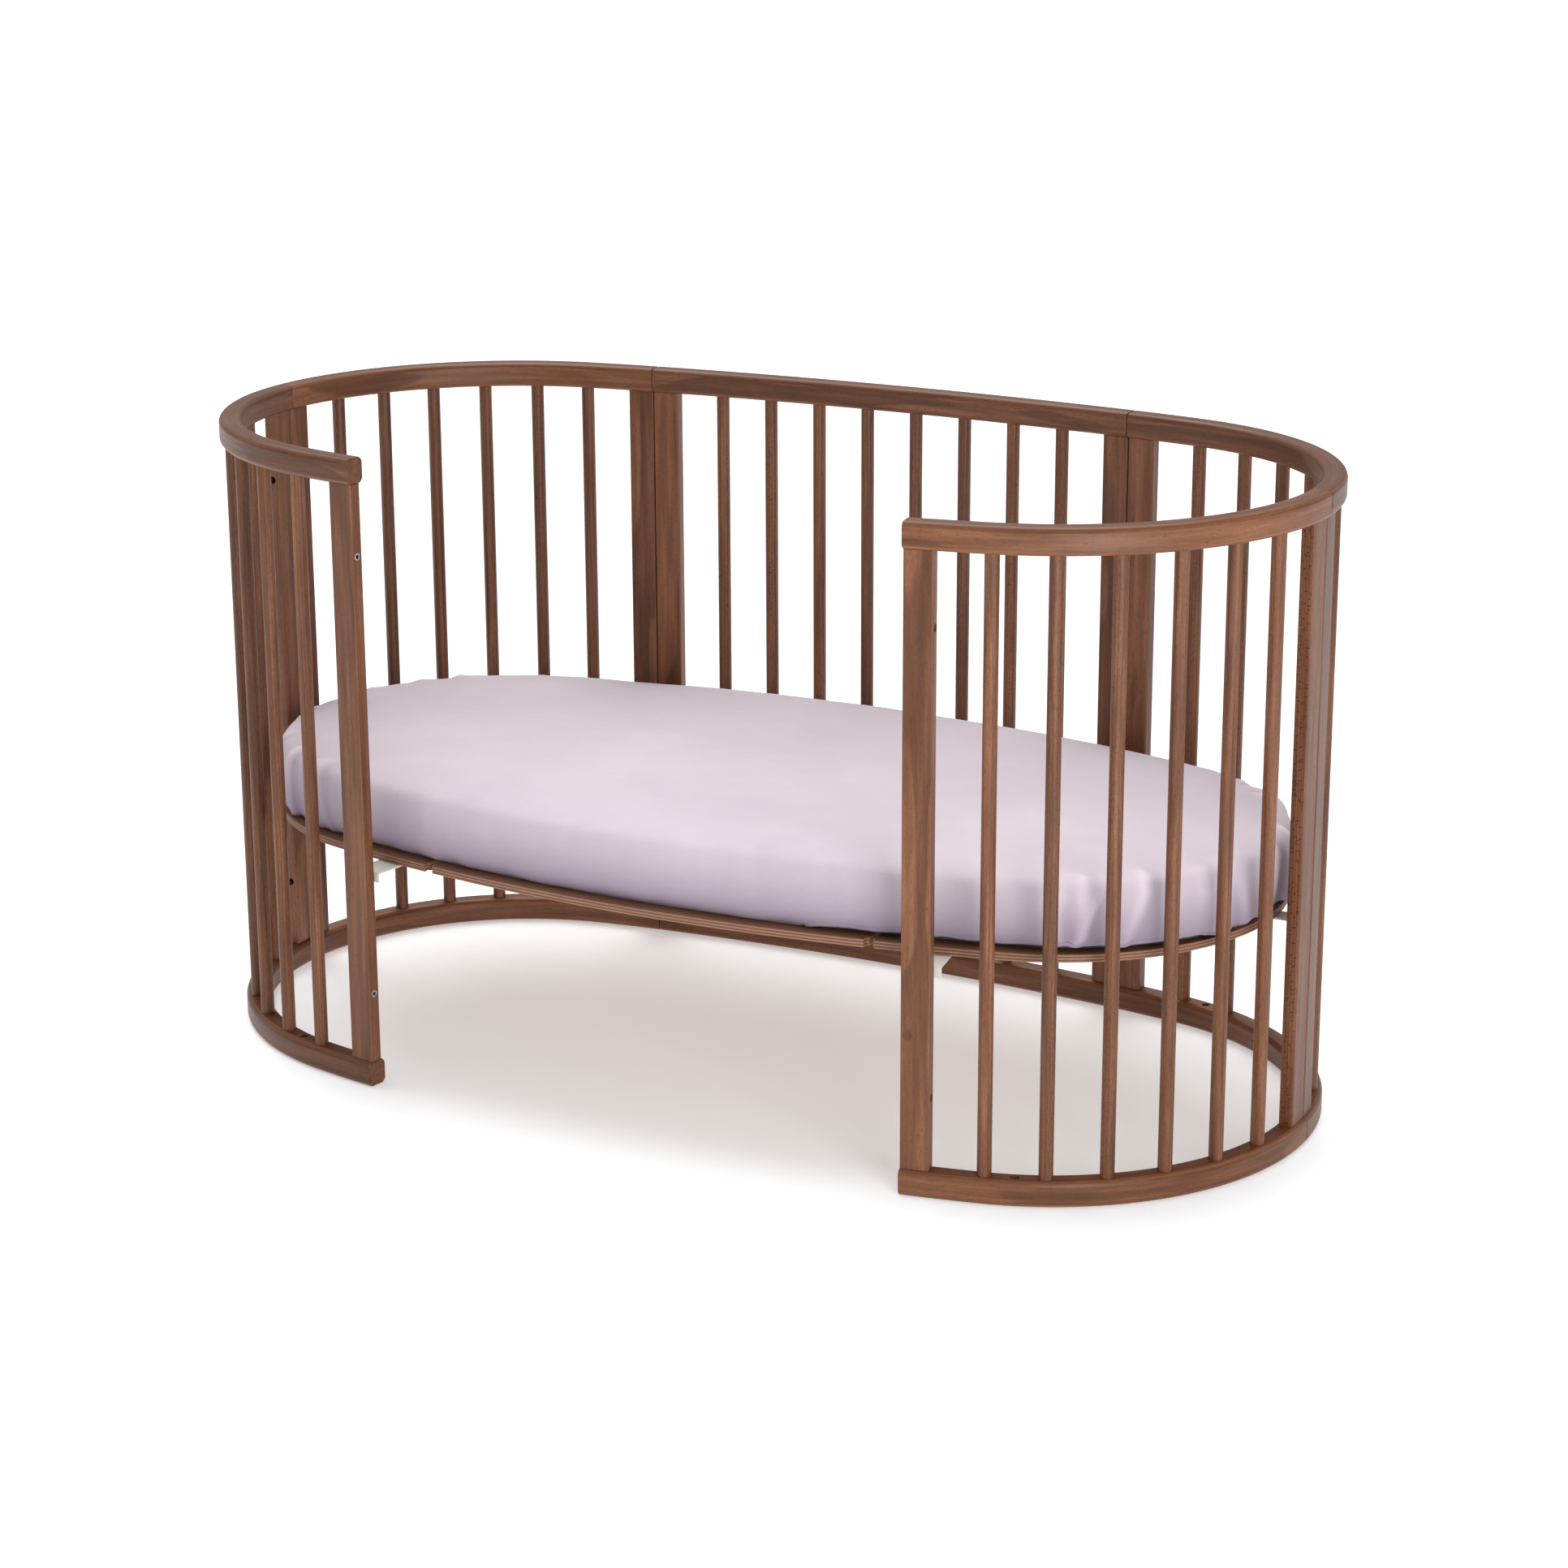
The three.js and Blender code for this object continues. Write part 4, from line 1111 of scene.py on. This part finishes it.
finishPiece(setOut("boardCaps", source, places, capFinish), "base")
discard(source)

# the wood plug let into the face of the front right post
plug = {"diameter": 11 * mm, "height": 184 * mm, "proud": 0.15 * mm, "depth": 3 * mm, "aside": -8.5 * mm}
plugPlace = movedTo(-plug["aside"], post["thickness"] / 2 + plug["proud"] - plug["depth"] / 2, 0) @ alongY
source = solid("plugSource", (cylinder(plug["diameter"], plug["depth"], 32), plugPlace))
place = onRing(byName["front_right"]["posts"][1], plug["height"])
plugLook = {"shift": (5.2, 1.1, 0.4), "tone": -0.9, "fleck": 0.2}
obj = setOut("postPlug", source, [place], beechFinish, [plugLook])
finishPiece(obj, "frame", ())
discard(source)
print("hardware ready")


# camera at the height of a standing person, a long lens

view = {
    "azimuth": 28.035, "elevation": 16.768, "roll": -0.2235,  # degrees
    "distance": 4.24494, "aside": 0.02077, "height": 0.32618,  # metres
    "lens": 82.634, "sensor": 36,  # mm
}
azimuth, elevation = math.radians(view["azimuth"]), math.radians(view["elevation"])
backwards = Vector((math.sin(azimuth) * math.cos(elevation), -math.cos(azimuth) * math.cos(elevation), math.sin(elevation)))
right = Vector((math.cos(azimuth), math.sin(azimuth), 0))
up = backwards.cross(right)
roll = math.radians(view["roll"])
tiltedRight = math.cos(roll) * right + math.sin(roll) * up
tiltedUp = math.cos(roll) * up - math.sin(roll) * right
spot = Vector((0, 0, view["height"])) + view["aside"] * right + view["distance"] * backwards
camera = bpy.data.objects.new("camera", bpy.data.cameras.new("camera"))
scene.collection.objects.link(camera)
camera.matrix_world = Matrix.Translation(spot) @ Matrix((tiltedRight, tiltedUp, backwards)).transposed().to_4x4()
camera.data.lens = view["lens"]
camera.data.sensor_width = view["sensor"]
camera.data.clip_end = 200
scene.camera = camera


# floor and soft studio light

wide = 40
corners = [(-wide, -wide, 0), (wide, -wide, 0), (wide, wide, 0), (-wide, wide, 0)]
floor = newObject("floor", meshFrom("floor", corners, (), [(0, 1, 2, 3)]))
floor.data.materials.append(paintedFloor())
studio = {
    "sun": {"power": 2.4, "softness": 50, "turn": (-18, -16, 0)},  # degrees
    "front": {"power": 22, "place": (1.9, -1.7, 0.7), "aim": (0.3, -0.3, 0.3), "size": (0.9, 1.0)},
    "surround": 0.42,
}


def newLight(name, kind, power):
    obj = bpy.data.objects.new(name, bpy.data.lights.new(name, kind))
    scene.collection.objects.link(obj)
    obj.data.energy = power
    return obj


overhead = newLight("overhead", "SUN", studio["sun"]["power"])
overhead.data.angle = math.radians(studio["sun"]["softness"])
overhead.rotation_euler = [math.radians(turn) for turn in studio["sun"]["turn"]]
front = newLight("front", "AREA", studio["front"]["power"])
front.data.shape, front.data.size, front.data.size_y = "RECTANGLE", *studio["front"]["size"]
front.location = studio["front"]["place"]
front.rotation_euler = (Vector(studio["front"]["aim"]) - front.location).to_track_quat("-Z", "Y").to_euler()
world = bpy.data.worlds.new("studio")
world.use_nodes = True
background = world.node_tree.nodes["Background"].inputs
background[0].default_value, background[1].default_value = (1, 1, 1, 1), studio["surround"]
scene.world = world
scene.view_settings.view_transform = "Standard"
print("camera and light ready")
